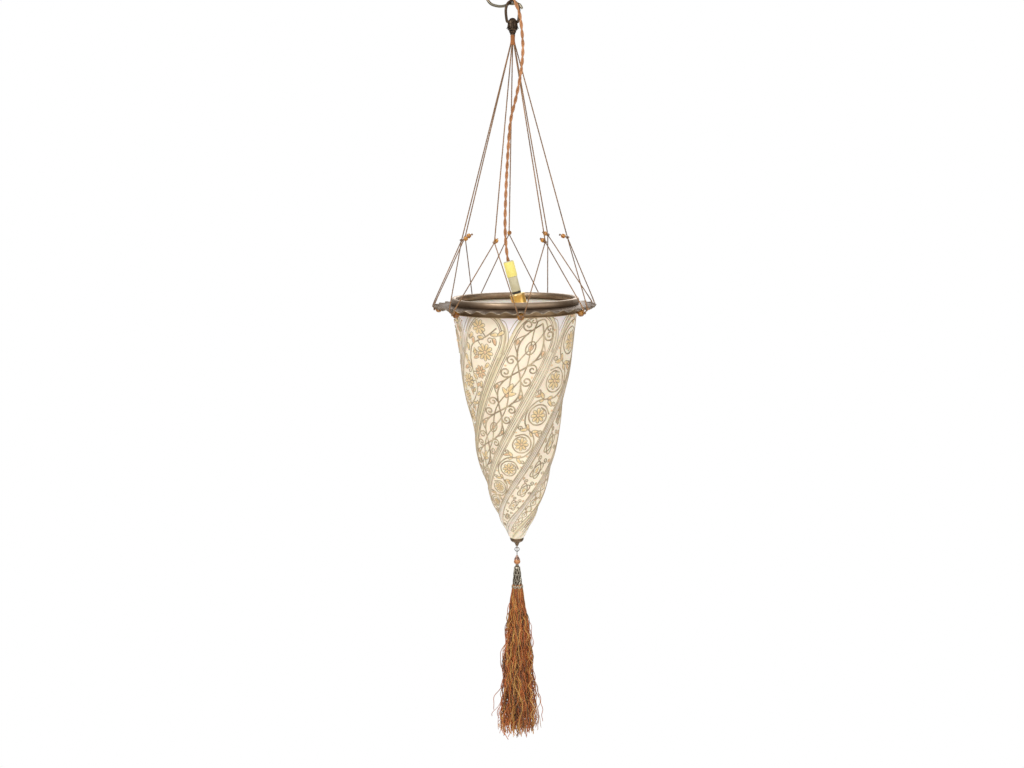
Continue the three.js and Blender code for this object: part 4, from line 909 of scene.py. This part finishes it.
def oval(sigma, omega, length, width, turn, count, taper=0):
    """Points of an oval or a drop, turned from the panel's axis"""
    c, s = math.cos(math.radians(turn)), math.sin(math.radians(turn))
    points = []
    for t in np.linspace(0, 2 * math.pi, count, endpoint=False):
        a, b = length * math.cos(t), width * math.sin(t) * (1 - taper * math.cos(t))
        points.append((sigma + a * c - b * s, omega + a * s + b * c))
    return points


def ring_of(panel, sigma, omega, size, stretch, turn=0.0, width=0.9):
    """Closed oval"""
    stroke(panel, oval(sigma, omega, size * stretch, size, turn, 10), width, 3, closed=True)


def room_at(sigma):
    """Half width of the field at one place along a panel"""
    return float(field_half(sigma, at_run(run_at(sigma), run_drop)))


def petal(panel, sigma, omega, length, width, turn, amber):
    """Drop of gold or amber enamel inside a thin outline"""
    leaf(panel, sigma, omega, length, width, turn, amber)
    stroke(panel, oval(sigma, omega, 1.12 * length, 1.25 * width, turn, 8, TAPER), 0.5, 2, closed=True)


def fleur(panel, sigma, omega, size):
    """Tall gold bud between two bent petals, with an amber tip"""
    petal(panel, sigma - size * 0.3, omega, size * 0.6, size * 0.26, 180, 0)
    for side in SIDES:
        place = (sigma + size * 0.14, omega + side * size * 0.42)
        petal(panel, *place, size * 0.42, size * 0.17, 180 - 55 * side, 0)
    petal(panel, sigma + size * 0.52, omega, size * 0.24, size * 0.2, 0, 1)


def rosette(panel, sigma, omega, size, petals, amber, start=0):
    """Blossom of outlined petals round a raised heart"""
    for i in range(petals):
        turn = start + 360 * i / petals
        along, off = math.cos(math.radians(turn)), math.sin(math.radians(turn))
        place = (sigma + size * 0.6 * along, omega + size * 0.6 * off)
        petal(panel, *place, size * 0.38, size * 1.35 / petals, turn + 180, amber)
    leaf(panel, sigma, omega, size * 0.2, size * 0.2, 0, 1 - amber, 1.4)


def cells(length):
    """Start, hand and half width of each repeat of a pattern down a panel"""
    for i, start in enumerate(np.arange(0.4, 17.6, length)):
        yield start, 1 if i % 2 else -1, room_at(start + length / 2) - 0.1


for panel in range(PANELS):
    for inset, width in ((0.0, 0.7), (0.07, 0.5), (-0.14, 0.5), (-0.27, 0.45)):
        whole_side = inset >= 0
        down = np.linspace(ARCH_TOP + ARCH_RISE, 19.5 if whole_side else 1.3, 40 if whole_side else 3)
        arch = [(sigma, inset - room_at(sigma)) for sigma in down[::-1]]
        for degrees in range(-78, 79, 12):
            t = math.radians(degrees)
            sigma = ARCH_TOP + ARCH_RISE - (ARCH_RISE - inset) * math.cos(t)
            arch.append((sigma, (FIELD - inset) * math.sin(t)))
        arch += [(sigma, room_at(sigma) - inset) for sigma in down]
        stroke(panel, arch, width, 2, pale=inset != 0)
    stroke(panel, [(s, 0.93) for s in np.linspace(1.5, 21, 44)], 0.5, 2, pale=True)
    stroke(panel, [(s, 1.03) for s in np.linspace(1.1, 21, 44)], 0.45, 2, pale=True)

# Interlaced straps with scrolled ends, a gold bud or a blossom in each opening
STRAPS = 2.25
top = (room_at(1.5) - 0.1) * 0.34
stroke(0, [(0.4, top), (0.22, 0), (0.4, -top)], 0.9, 5)
for side in SIDES:
    scroll(0, 0.46, side * 0.4, 0.16, 90 * side, side, 1.2, 0.95)
for start, hand, wide in cells(STRAPS):
    for side in SIDES:
        for reach, offset, width in ((0.7, 0, 1.1), (0.34, 0.5, 0.9)):
            wave = []
            for t in np.linspace(0, 1, 9):
                wave.append((start + STRAPS * t, side * wide * reach * math.sin(math.pi * (t + offset))))
            stroke(0, wave, width, 4)
        scroll(0, start + 0.3, side * wide * 0.72, wide * 0.34, -60 * side, side, 1.35, 1.05)
        scroll(0, start + 1.95, side * wide * 0.72, wide * 0.34, 180 + 60 * side, -side, 1.35, 1.05)
        bow = [(start + along, side * wide * off) for along, off in ((0.62, 0.5), (1.12, 1.0), (1.62, 0.5))]
        stroke(0, bow, 0.8, 4)
        petal(0, start + 1.12, side * wide * 0.84, wide * 0.15, wide * 0.07, 0, 1)
        leaf(0, start + 0.02, side * wide * 0.9, wide * 0.07, wide * 0.07, 0, 1, 0.9)
    if hand > 0:
        fleur(0, start + 1.1, 0, wide * 0.62)
    else:
        ring_of(0, start + 1.12, 0, wide * 0.27, 1.5)
        petal(0, start + 1.12, 0, wide * 0.2, wide * 0.1, 0, 1)

# Vine that swings from side to side round big blossoms, each in a ring of its own tendril
VINES = 1.95
for panel, amber in ((1, 0), (5, 1)):
    for start, hand, wide in cells(VINES):
        mid, swing = start + 0.97, hand * wide
        bends = ((0, 0), (0.3, 0.66), (0.97, 0.97), (1.65, 0.66), (VINES, 0))
        stroke(panel, [(start + along, swing * off) for along, off in bends], 1.05, 4)
        scroll(panel, mid, -swing * 0.06, wide * 0.92, 180 + 60 * hand, -hand, 1.2, 1.0, 0.72)
        rosette(panel, mid, -swing * 0.04, wide * 0.58, 8, amber, 20 * hand)
        for side in SIDES:
            turn = 90 + 50 * side * hand
            petal(panel, mid + side * 0.82, swing * 0.28, wide * 0.2, wide * 0.08, turn, amber)
        petal(panel, start + 0.1, -swing * 0.5, wide * 0.26, wide * 0.1, -60 * hand, amber)
        petal(panel, start - 0.12, -swing * 0.3, wide * 0.22, wide * 0.09, -120 * hand, 1 - amber)
        scroll(panel, start + 0.08, -swing * 0.84, wide * 0.2, 90 * hand, hand, 1.2, 0.8)
        petal(panel, start - 0.1, swing * 0.5, wide * 0.26, wide * 0.1, 120 * hand, amber)
        petal(panel, start + 0.04, swing * 0.78, wide * 0.22, wide * 0.09, 60 * hand, 1 - amber)
        scroll(panel, start - 0.2, swing * 0.84, wide * 0.2, -90 * hand, hand, 1.2, 0.8)
        for side in SIDES:
            leaf(panel, start + 0.42 * side, -swing * 0.92, wide * 0.08, wide * 0.08, 0, 1, 0.9)

# Long ovals that cross, with small curls beside them
for start, hand, wide in cells(2.0):
    for turn in (-20, 20):
        ring_of(2, start + 1, 0, wide * 0.4, 2.35, turn, 1.0)
    petal(2, start + 1, 0, wide * 0.3, wide * 0.12, 90 - 90 * hand, 0)
    for side in SIDES:
        scroll(2, start + 0.12, side * wide * 0.4, wide * 0.27, 0, side, 1.3, 0.85)
        scroll(2, start + 1, side * wide * 0.8, wide * 0.2, 180, -side, 1.2, 0.8)
        petal(2, start + 0.02, side * wide * 0.86, wide * 0.17, wide * 0.07, 0, 1)

# Two vines that wave across each other, with dots and blossoms
WAVED = 1.9
for start, hand, wide in cells(WAVED):
    for side in SIDES:
        wave = []
        for t in np.linspace(0, 1, 9):
            wave.append((start + WAVED * t, side * wide * 0.64 * math.sin(2 * math.pi * t)))
        stroke(3, wave, 1.0, 3)
        for t in (0.25, 0.75):
            leaf(3, start + WAVED * t, side * wide * 0.9, wide * 0.09, wide * 0.09, 0, t > 0.5, 0.9)
        scroll(3, start + 0.62, side * wide * 0.8, wide * 0.22, 90, side, 1.1, 0.8)
        petal(3, start + 0.24, side * wide * 0.62, wide * 0.24, wide * 0.09, 50 * side, 0)
    rosette(3, start + 0.95, 0, wide * 0.36, 6, 1)
    rosette(3, start + 1.42, 0, wide * 0.2, 5, 0)

# Lattice of straps with leaf pairs
LATTICE = 1.8
for start, hand, wide in cells(LATTICE):
    for side in SIDES:
        for first, along, off, width, steps in ((0, 0.75, 0.9, 1.0, 6), (0.5, 1.1, 0.5, 0.8, 5)):
            strap = [(start + first, 0), (start + along, side * wide * off), (start + LATTICE, 0)]
            stroke(4, strap, width, steps)
        petal(4, start + 0.95, side * wide * 0.42, wide * 0.32, wide * 0.11, 24 * side, 0)
        petal(4, start + 1.55, side * wide * 0.72, wide * 0.26, wide * 0.1, -24 * side, 1)
        scroll(4, start + 0.2, side * wide * 0.7, wide * 0.24, 0, side, 1.2, 0.85)
    rosette(4, start + 0.74, 0, wide * 0.26, 5, 0)

# Sprays of blossoms on a swinging stem, thick with leaves and tendrils
SPRAYS = 1.85
SPRAY_STEMS = (
    (((0, -0.5), (0.55, -0.1), (1.2, 0.6), (SPRAYS, 0.5)), 1.0, 5),
    (((0.55, -0.1), (0.42, 0.2)), 0.85, 3),
    (((0.9, 0.3), (1.02, 0), (1.1, -0.1)), 0.85, 3),
)
SPRAY_LEAVES = (
    (0.12, -0.84, 30, 0), (0.56, -0.7, -40, 1), (0.7, 0.2, 70, 0), (0.86, 0.84, 10, 0),
    (1.42, 0.86, -30, 0), (1.62, 0.1, 40, 1), (1.72, -0.8, 20, 0), (0.3, -0.52, 60, 0),
    (1.42, 0.3, 150, 0), (1.0, 0.6, -20, 1),
)  # fmt: skip
for start, hand, wide in cells(SPRAYS):
    swing = wide * hand
    for stem, width, steps in SPRAY_STEMS:
        stroke(6, [(start + along, swing * off) for along, off in stem], width, steps)
    rosette(6, start + 1.2, -swing * 0.38, wide * 0.52, 9, 0, 25)
    rosette(6, start + 0.32, swing * 0.5, wide * 0.42, 8, hand > 0)
    for along, off, turn, amber in SPRAY_LEAVES:
        petal(6, start + along, swing * off, wide * 0.2, wide * 0.085, turn * hand, amber)
    scroll(6, start + 1.5, swing * 0.16, wide * 0.26, 90 * hand, hand, 1.3, 0.85)
    scroll(6, start + 0.62, -swing * 0.42, wide * 0.22, -90 * hand, -hand, 1.2, 0.8)
    scroll(6, start + 0.92, swing * 0.86, wide * 0.16, 0, hand, 1.2, 0.8)


def clouded(name, light, dark, scale, low, high, detail=2.0, gloss=None, **plain):
    """Finish whose two colours, and its gloss if given, drift into each other in clouds"""
    finish, tree, shader = blank_finish(name, **plain)
    cloud = noise(tree, scale, detail)
    feed(tree, shader, Base_Color=mixed(tree, mapped(tree, cloud, low, high), tone(light), tone(dark)))
    if gloss:
        feed(tree, shader, Roughness=mapped(tree, cloud, to_low=gloss[0], to_high=gloss[1]))
    return finish


enamel = clouded("taupe_enamel", "9a876d", "c4b191", 75.0, 0.36, 0.66, 3.0, Roughness=0.42, Coat_Weight=0.2)
pale_enamel = clouded("pale_enamel", "bba98d", "d9c9ad", 75.0, 0.36, 0.66, Roughness=0.42, Coat_Weight=0.2)
gilding = metal("gilding", "efcf96", "dab176", "f6e3b8", 120.0, 0.7, 0.4, 0.1, shine=0.12)
amber_paint = metal("amber_paint", "e3b489", "d0a07a", "efd0a8", 120.0, 0.7, 0.42, 0.1, shine=0.05)
enamels = [enamel, gilding, amber_paint, pale_enamel]

drop_form = bmesh.new()
bmesh.ops.create_uvsphere(drop_form, u_segments=8, v_segments=6, radius=1)
drop_mesh = ended(drop_form)
drop_points = np.zeros(len(drop_mesh.vertices) * 3)
drop_mesh.vertices.foreach_get("co", drop_points)
drop_points = drop_points.reshape(-1, 3)


def sized(sigma):
    """Half a panel's width in millimetres, at a place along it"""
    return at_run(run_at(sigma), run_pitch)


def enamel_drops(panel, drops):
    """Flat drops of enamel on one panel, as one mesh"""
    form = bmesh.new()
    for _ in drops:
        form.from_mesh(drop_mesh)
    mesh = ended(form)
    sigma, omega, length, width, turn, high = np.array(drops).T[:, :, None]
    x, y, z = drop_points.T[:, None, :]
    y = y * width * (1 - TAPER * x)
    x = x * length
    along = sigma + x * np.cos(turn) - y * np.sin(turn)
    off = omega + x * np.sin(turn) + y * np.cos(turn)
    thick = high * np.clip(sized(sigma) / 32, 0.35, 1)
    mesh.vertices.foreach_set("co", on_glass(panel, along, off, z * thick + 0.1).ravel())
    mesh.shade_smooth()
    return mesh


for panel in range(PANELS):
    lines, sizes, kinds = [], [], []
    for sigma, omega, width, kind in strokes[panel]:
        scale = width * np.clip(sized(sigma) / 28, 0.3, 1) ** 0.8
        lines.append(on_glass(panel, sigma, omega, -0.35 * scale))
        sizes.append(scale)
        kinds.append(kind)
    lines_mesh = threads(lines, ENAMEL, roundness=0, sizes=sizes, finishes=kinds)
    drops = [enamel_drops(panel, leaves[panel, amber]) for amber in (0, 1)]
    painting = merged(lines_mesh, *drops, sharp=80, finishes=(None, 1, 2))
    fit(f"painted_panel_{panel + 1}", painting, enamels, "lamp", "painted_glass", "glass_shade")


# Bottom cup of dark bronze that carries the tip of the glass, with a finial whose threaded stem
# goes up through the glass to a nut.
STEM = 4.7
EYE_HEIGHT = -974.4
EYE_RADIUS = 2.95
EYE_WIRE = 1.6

cup_side = [(0, -957.4), (8.2, -957.4), (10.6, -957.2), (11.6, -957.9), (11.6, -959.4), (11.2, -960.2)]
cup_side += [(11, -961.6), (9.8, -963.4), (8, -964.7), (6, -965.2), (5.2, -966.2), (0, -966.4)]
cup = turned(eased_side(cup_side, 3), 96, closed=False)
tip_bronze = metal("tip_bronze", "85705a", "4c3b2c", "b79b7a", 110.0, 0.6, 0.38, 0.25)
fit("tip_cup", cup, tip_bronze, "lamp", "dark_bronze", "bottom_cup")
refinish("stem_nut", polished_brass)
finial_side = [(0, -964.8), (4.5, -964.9), (4.8, -965.6), (4.2, -966.4), (4.1, -967.2), (3.3, -968.2)]
finial_side += [(3.4, -969), (2.6, -970), (2.4, -971.2), (1.7, -972.1), (0, -972.3)]
finial_body = turned(eased_side(finial_side, 3), 64, closed=False)
stem = threads([[(0, 0, -952.4), (0, 0, -966)]], STEM, roundness=5)
turn = np.linspace(0, 2 * math.pi, 40, endpoint=False)
eye_line = np.c_[np.zeros(40), EYE_RADIUS * np.sin(turn), EYE_HEIGHT + EYE_RADIUS * np.cos(turn)]
eye = threads([eye_line], EYE_WIRE, roundness=4, closed=True)
fit("finial", merged(finial_body, stem, eye, sharp=40), tip_bronze, "lamp", "dark_bronze", "finial")


# Jump ring of nickel wire, and the pin that carries the bead cap, the copper glass bead and the
# tassel cap. The cap is open bronze filigree, with a scalloped, flared edge, over a dark lining whose
# colour is painted shade: it stands in for the shadow inside the cap.
JUMP_CENTRE = -977.94
JUMP_RADIUS = 3.65
JUMP_WIRE = 1.2
PIN_CENTRE = -981.3
PIN_RADIUS = 2.55
PIN_WIRE = 1.3
BEAD_CAP_TOP = -988.3
BEAD_CAP_TALL = 7.2
BEAD_CAP_RIBS = 12
COPPER_BEAD = (5.5, 9.4, 0.85, 0.95)
BEAD_CENTRE = -999.25
CAP_TOP = -1004.25
CAP_TALL = 41
CAP_WIDE = 8.9
CAP_ROWS = (0, 0.07, 0.13, 0.36, 0.66, 0.91)
CAP_RADII = (2.4, 3.4, 4.9, 6.0, 7.3, 8.2)
LACE_WIRE = 0.95
LACE_TURN = 2.3
LACE_COUNT = 8
SKIRT_WIRE = 1.1
KNOBS = 16

nickel = metal("nickel", "5a564f", "302d28", "a09c92", 80.0, 0.5, 0.34, 0.05)
open_turn = np.linspace(0.03, 2 * math.pi - 0.03, 48)
jump = np.c_[JUMP_RADIUS * np.sin(open_turn), np.zeros(48), JUMP_CENTRE + JUMP_RADIUS * np.cos(open_turn)]
fit("jump_ring", threads([jump], JUMP_WIRE, roundness=4), nickel, "jump_ring", "nickel", "jump_ring")
pin_turn = np.linspace(-2.9, 2.9, 40)
pin = np.c_[np.zeros(40), PIN_RADIUS * np.sin(pin_turn), PIN_CENTRE + PIN_RADIUS * np.cos(pin_turn)]
shank = [(0, 0, PIN_CENTRE - 2.6), (0, 0, PIN_CENTRE - 10), (0, 0, -1015.4)]
fit("eye_pin", threads([pin, shank], PIN_WIRE, roundness=4), nickel, "tassel", "nickel", "eye_pin")

pink_bronze = metal("pink_bronze", "9a7666", "3f2b24", "dcbcab", 120.0, 0.6, 0.32, 0.2)
cap_shares = ((0.24, 0), (0.32, 0.1), (0.42, 0.28), (0.58, 0.5), (0.8, 0.76), (0.96, 0.94), (1, 1))
bead_cap_side = eased_side([(5 * s, BEAD_CAP_TOP - BEAD_CAP_TALL * t) for s, t in cap_shares], 3)
cap_hollow = [(max(r - 0.9, 0.75), z - 0.25) for r, z in bead_cap_side]
cap_form = turned([*bead_cap_side, *cap_hollow[::-1]], 60)
rib = [(r + 0.05, z) for r, z in bead_cap_side[2:]]
ribs = [upright(rib, 360 / BEAD_CAP_RIBS * i) for i in range(BEAD_CAP_RIBS)]
bead_cap = merged(cap_form, threads(ribs, 0.55, roundness=1))
fit("bead_cap", bead_cap, pink_bronze, "tassel", "aged_bronze", "bead_cap")
copper_bead = barrel(*COPPER_BEAD, steps=64)
copper_bead.transform(Matrix.Translation((0, 0, BEAD_CENTRE)))
copper_glass = glassy("copper_bead_glass", "d8955a", "a4622f", 0.12, 0.1)
fit("copper_bead", copper_bead, copper_glass, "drop_bead", "copper_glass", "drop_bead")

cap_line = ((0.27, 0), (0.38, 0.07), (0.55, 0.13), (0.67, 0.36), (0.82, 0.66), (0.92, 0.91))
cap_run = eased_side([(CAP_WIDE * s, CAP_TOP - CAP_TALL * t) for s, t in cap_line], 6)
inner_line = [(max(r - 1.0, 0.7), z) for r, z in cap_run]
# Lining inside the filigree: a dark sheet whose colour is painted shade, for the shadow inside the cap
painted_shade_lining = turned([*[(r - 0.35, z) for r, z in cap_run[2:]], *inner_line[:1:-1]], 48)
work = []
for hand in (1, -1):
    for i in range(LACE_COUNT):
        t = np.linspace(0.14, 0.9, 44)
        turn = hand * LACE_TURN * t + 2 * math.pi * i / LACE_COUNT
        work.append(wound(np.interp(t, CAP_ROWS, CAP_RADII), turn, CAP_TOP - CAP_TALL * t))
lace = threads(work, LACE_WIRE, roundness=1)
hoops = []
turn = np.linspace(0, 2 * math.pi, 48, endpoint=False)
for share, extra in ((0.135, 0.1), (0.4, 0.15), (0.66, 0.15), (0.9, 0.25)):
    hoops.append(wound(np.interp(share, CAP_ROWS, CAP_RADII) + extra, turn, CAP_TOP - CAP_TALL * share))
hoop_mesh = threads(hoops, LACE_WIRE, roundness=2, closed=True)
turn = np.linspace(0, 2 * math.pi, 144, endpoint=False)
wave = np.abs(np.sin(turn * 4))
skirt_lines = []
for inset, low in ((0, 0.0), (0.5, 0.9)):
    skirt_lines.append(wound(9.15 - inset + 0.35 * wave, turn, CAP_TOP - 36.4 + low - 3.2 * wave))
skirt = threads(skirt_lines, SKIRT_WIRE, roundness=2, closed=True)
neck_side = [(0.7, CAP_TOP), (2.9, CAP_TOP - 0.1), (2.9, CAP_TOP - 1.2), (2.3, CAP_TOP - 2.4)]
neck_side += [(3.3, CAP_TOP - 2.8), (5.1, CAP_TOP - 4.6), (5.2, CAP_TOP - 6.2), (0.7, CAP_TOP - 6.2)]
neck = turned(neck_side, 48)
knobs = bmesh.new()
for i in range(KNOBS):
    made = bmesh.ops.create_uvsphere(knobs, u_segments=8, v_segments=6, radius=0.8 if i % 2 else 0.6)
    turn = 2 * math.pi * (i + 0.5) / KNOBS
    out = (CAP_WIDE * math.cos(turn), CAP_WIDE * math.sin(turn), CAP_TOP - (38.4 if i % 2 else 36.2))
    bmesh.ops.translate(knobs, verts=made["verts"], vec=out)
parts = (painted_shade_lining, lace, hoop_mesh, skirt, neck, mesh_of(knobs))
filigree = merged(*parts, sharp=50, finishes=(1, 0, 0, 0, 0, 0))
old_bronze = metal("old_bronze", "857a68", "3f362b", "d6cdb8", 150.0, 0.7, 0.36, 0.2)
# Painted shade for the lining: a dark bronze that stands in for the shadow inside the cap
shadow_bronze = metal("shadow_bronze", "5d5247", "332a22", "6a5e50", 90.0, 0.5, 0.6, 0.1)
fit("tassel_cap", filigree, [old_bronze, shadow_bronze], "tassel", "aged_bronze", "tassel_cap")


# Tassel: long wavy silk threads in rust, ochre and dark brown, tied in the cap. They spread to a
# loose bell and end ragged, and some stray out at the sides.
TASSEL_TOP = -1038
TASSEL_END = -1300
TASSEL_THREAD = 1.15
TASSEL_ROWS = (0, 0.05, 0.12, 0.2, 0.32, 0.48, 0.66, 0.84, 1)
TASSEL_HALVES = (7.2, 8.9, 11.0, 13.8, 18.8, 22.4, 24.4, 28.8, 30.5)

chance = np.random.default_rng(7)
for name, light, dark, count in (
    ("rust", "cf7433", "8a4514", 230),
    ("ochre", "e2ad5c", "a5702a", 110),
    ("dark", "80502a", "482812", 80),
):
    hairs = []
    for _ in range(count):
        loose = chance.uniform() < 0.34
        share = chance.uniform(0.7, 1.14) if loose else 0.86 * chance.uniform() ** 0.5
        stray = 0.6 * chance.uniform(0.2, 1) if chance.uniform() < 0.1 else 0
        heading = chance.uniform(0, 2 * math.pi)
        length = chance.uniform(0.9, 1.0) if chance.uniform() < 0.8 else chance.uniform(0.55, 0.9)
        t = np.linspace(0, length, 64)
        spread = np.interp(t, TASSEL_ROWS, TASSEL_HALVES) * share * (1 + stray * ease(t, 0.25, 1))
        swirl = heading + chance.normal(0, 0.45) * t + 0.16 * np.sin(t * chance.uniform(6, 16) + heading)
        wild = 1.7 if loose else 1.0
        curls = []
        for _ in range(2):
            long, short = chance.uniform(14, 30), chance.uniform(45, 90)
            curl = 1.3 * wild * chance.normal() * np.sin(t * long + chance.uniform(0, 6))
            curls.append(curl + 0.7 * wild * chance.normal() * np.sin(t * short + chance.uniform(0, 6)))
        eased = ease(t, 0.02, 0.2) * (0.8 + 0.7 * t)
        x = spread * np.cos(swirl) + curls[0] * eased
        y = spread * np.sin(swirl) + curls[1] * eased
        hairs.append(np.c_[x, y, TASSEL_TOP + (TASSEL_END - TASSEL_TOP) * t])
    tassel_silk = silk(f"{name}_tassel_silk", light, dark, 30.0, 0.4, 0.3)
    hair = threads(hairs, TASSEL_THREAD, roundness=0)
    fit(f"tassel_{name}", hair, tassel_silk, "tassel", "tassel_silk", "tassel_skirt")


# Lampholder, hung on the flex inside the shade and leaning with it: a plastic sleeve with a blank
# yellow label, and under it a black core in a threaded shell of polished brass.
HOLDER_TOP = (-10.375, -3, -493.79)
HOLDER_LEAN = -14.4
SHELL_PITCH = 2.7
SHELL_THREAD = ((7.85, -66.2), (7.6, -67.4), (7.85, -68.6))
HOLDER = Matrix.Translation(HOLDER_TOP) @ Matrix.Rotation(math.radians(HOLDER_LEAN), 4, "Y")


def in_holder(mesh):
    """Moves a mesh from the holder's own axis to its place"""
    mesh.transform(HOLDER)
    return mesh


refinish("cord_grip", black_plastic)
refinish("holder_core", black_plastic)
refinish("centre_contact", polished_brass)
sleeve_side = [(7.2, 0.05), (7.7, -0.6), (7.7, -50.4), (7.2, -51), (6.5, -51), (6.5, -1.2)]
sleeve_side += [(3.2, -1.2), (3.2, 0)]
sleeve = in_holder(turned(sleeve_side, 64))
sleeve_finish = clouded(
    "grey_beige_plastic", "c6bc97", "d6cdac", 70.0, 0.35, 0.65, gloss=(0.4, 0.6), Coat_Weight=0.1
)
fit("sleeve", sleeve, sleeve_finish, "lampholder", "ivory_plastic", "holder_sleeve")

label_finish = clouded(
    "yellow_paper", "fbe97e", "fcee90", 300.0, 0.35, 0.65, Specular_IOR_Level=0.3, Roughness=0.6
)
label_side = [(7.98, -1.3), (8.5, -1.3), (8.62, -1.6), (8.5, -25.6), (8.42, -25.9), (7.98, -25.9)]
fit("label", in_holder(turned(label_side, 72)), label_finish, "lampholder", "yellow_paper", "blank_label")

shell_side = [(5.9, -54.6), (11.2, -54.6), (12.2, -55.2), (12.6, -56.6), (12.4, -58), (12.1, -58.8)]
shell_side += [(12.15, -66), (12.2, -76.4), (12.7, -77.2), (12.7, -78.2), (12.3, -79), (12.5, -82)]
shell_side += [(12.95, -84.6), (13.1, -85.6), (12.2, -85.6), (11.6, -78.4), (11.6, -55.6), (5.9, -55.6)]
shell = in_holder(turned(shell_side, 96, sharp=50))
shell_brass = metal("shell_brass", "ffcc70", "e39a44", "fff2c8", 18.0, 0.3, 0.36, 0.0, shine=0.82)
fit("brass_shell", shell, shell_brass, "lampholder", "polished_brass", "holder_shell")
thread_side = [(7.25, -65.1), (7.85, -65.1)]
for i in range(6):
    thread_side += [(radius, top - SHELL_PITCH * i) for radius, top in SHELL_THREAD]
thread_side += [(7.85, -83.1), (7.25, -83.1)]
screw = in_holder(turned(thread_side, 72))
fit("screw_shell", screw, shell_brass, "lampholder", "polished_brass", "screw_shell")


# Bulb: a nickel screw cap with a white glass bulb blown on it. It is guessed, because the shade
# hides it in the photograph.
BULB_RADIUS = 17.5
BULB_TOP = -88.7
BULB_TALL = 70
BULB_PITCH = 2.9
BULB_THREAD = ((6.2, -68.6), (6.8, -69.8), (6.8, -70.4), (6.2, -71.6))

cap_turns = [(0, -66.4), (2.6, -66.4), (3.4, -67.2), (6.2, -68)]
for i in range(5):
    cap_turns += [(radius, top - BULB_PITCH * i) for radius, top in BULB_THREAD]
cap_turns += [(6.6, -84.4), (8.16, -87.6), (8.16, -88.4), (0, -88.4)]
bulb_cap = in_holder(turned(cap_turns, 64, closed=False, sharp=50))
fit("bulb_cap", bulb_cap, nickel, "bulb", "nickel", "bulb_cap")
bulb_shares = ((0.36, 0), (0.62, 0.1), (0.93, 0.24), (1, 0.4), (0.84, 0.62), (0.48, 0.84))
bulb_shares += ((0.16, 0.98), (0, 1))
bulb_side = eased_side([(BULB_RADIUS * s, BULB_TOP - BULB_TALL * t) for s, t in bulb_shares], 5)
opal = clouded(
    "opal_bulb_glass", "f1efe8", "f7f6f2", 90.0, 0.3, 0.7, gloss=(0.2, 0.32),
    Coat_Weight=0.4, Subsurface_Weight=0.2, Subsurface_Scale=0.004,
)  # fmt: skip
bulb_glass = in_holder(turned([(0, BULB_TOP), *bulb_side], 96, closed=False))
fit("bulb_glass", bulb_glass, opal, "bulb", "bulb_glass", "bulb_glass")
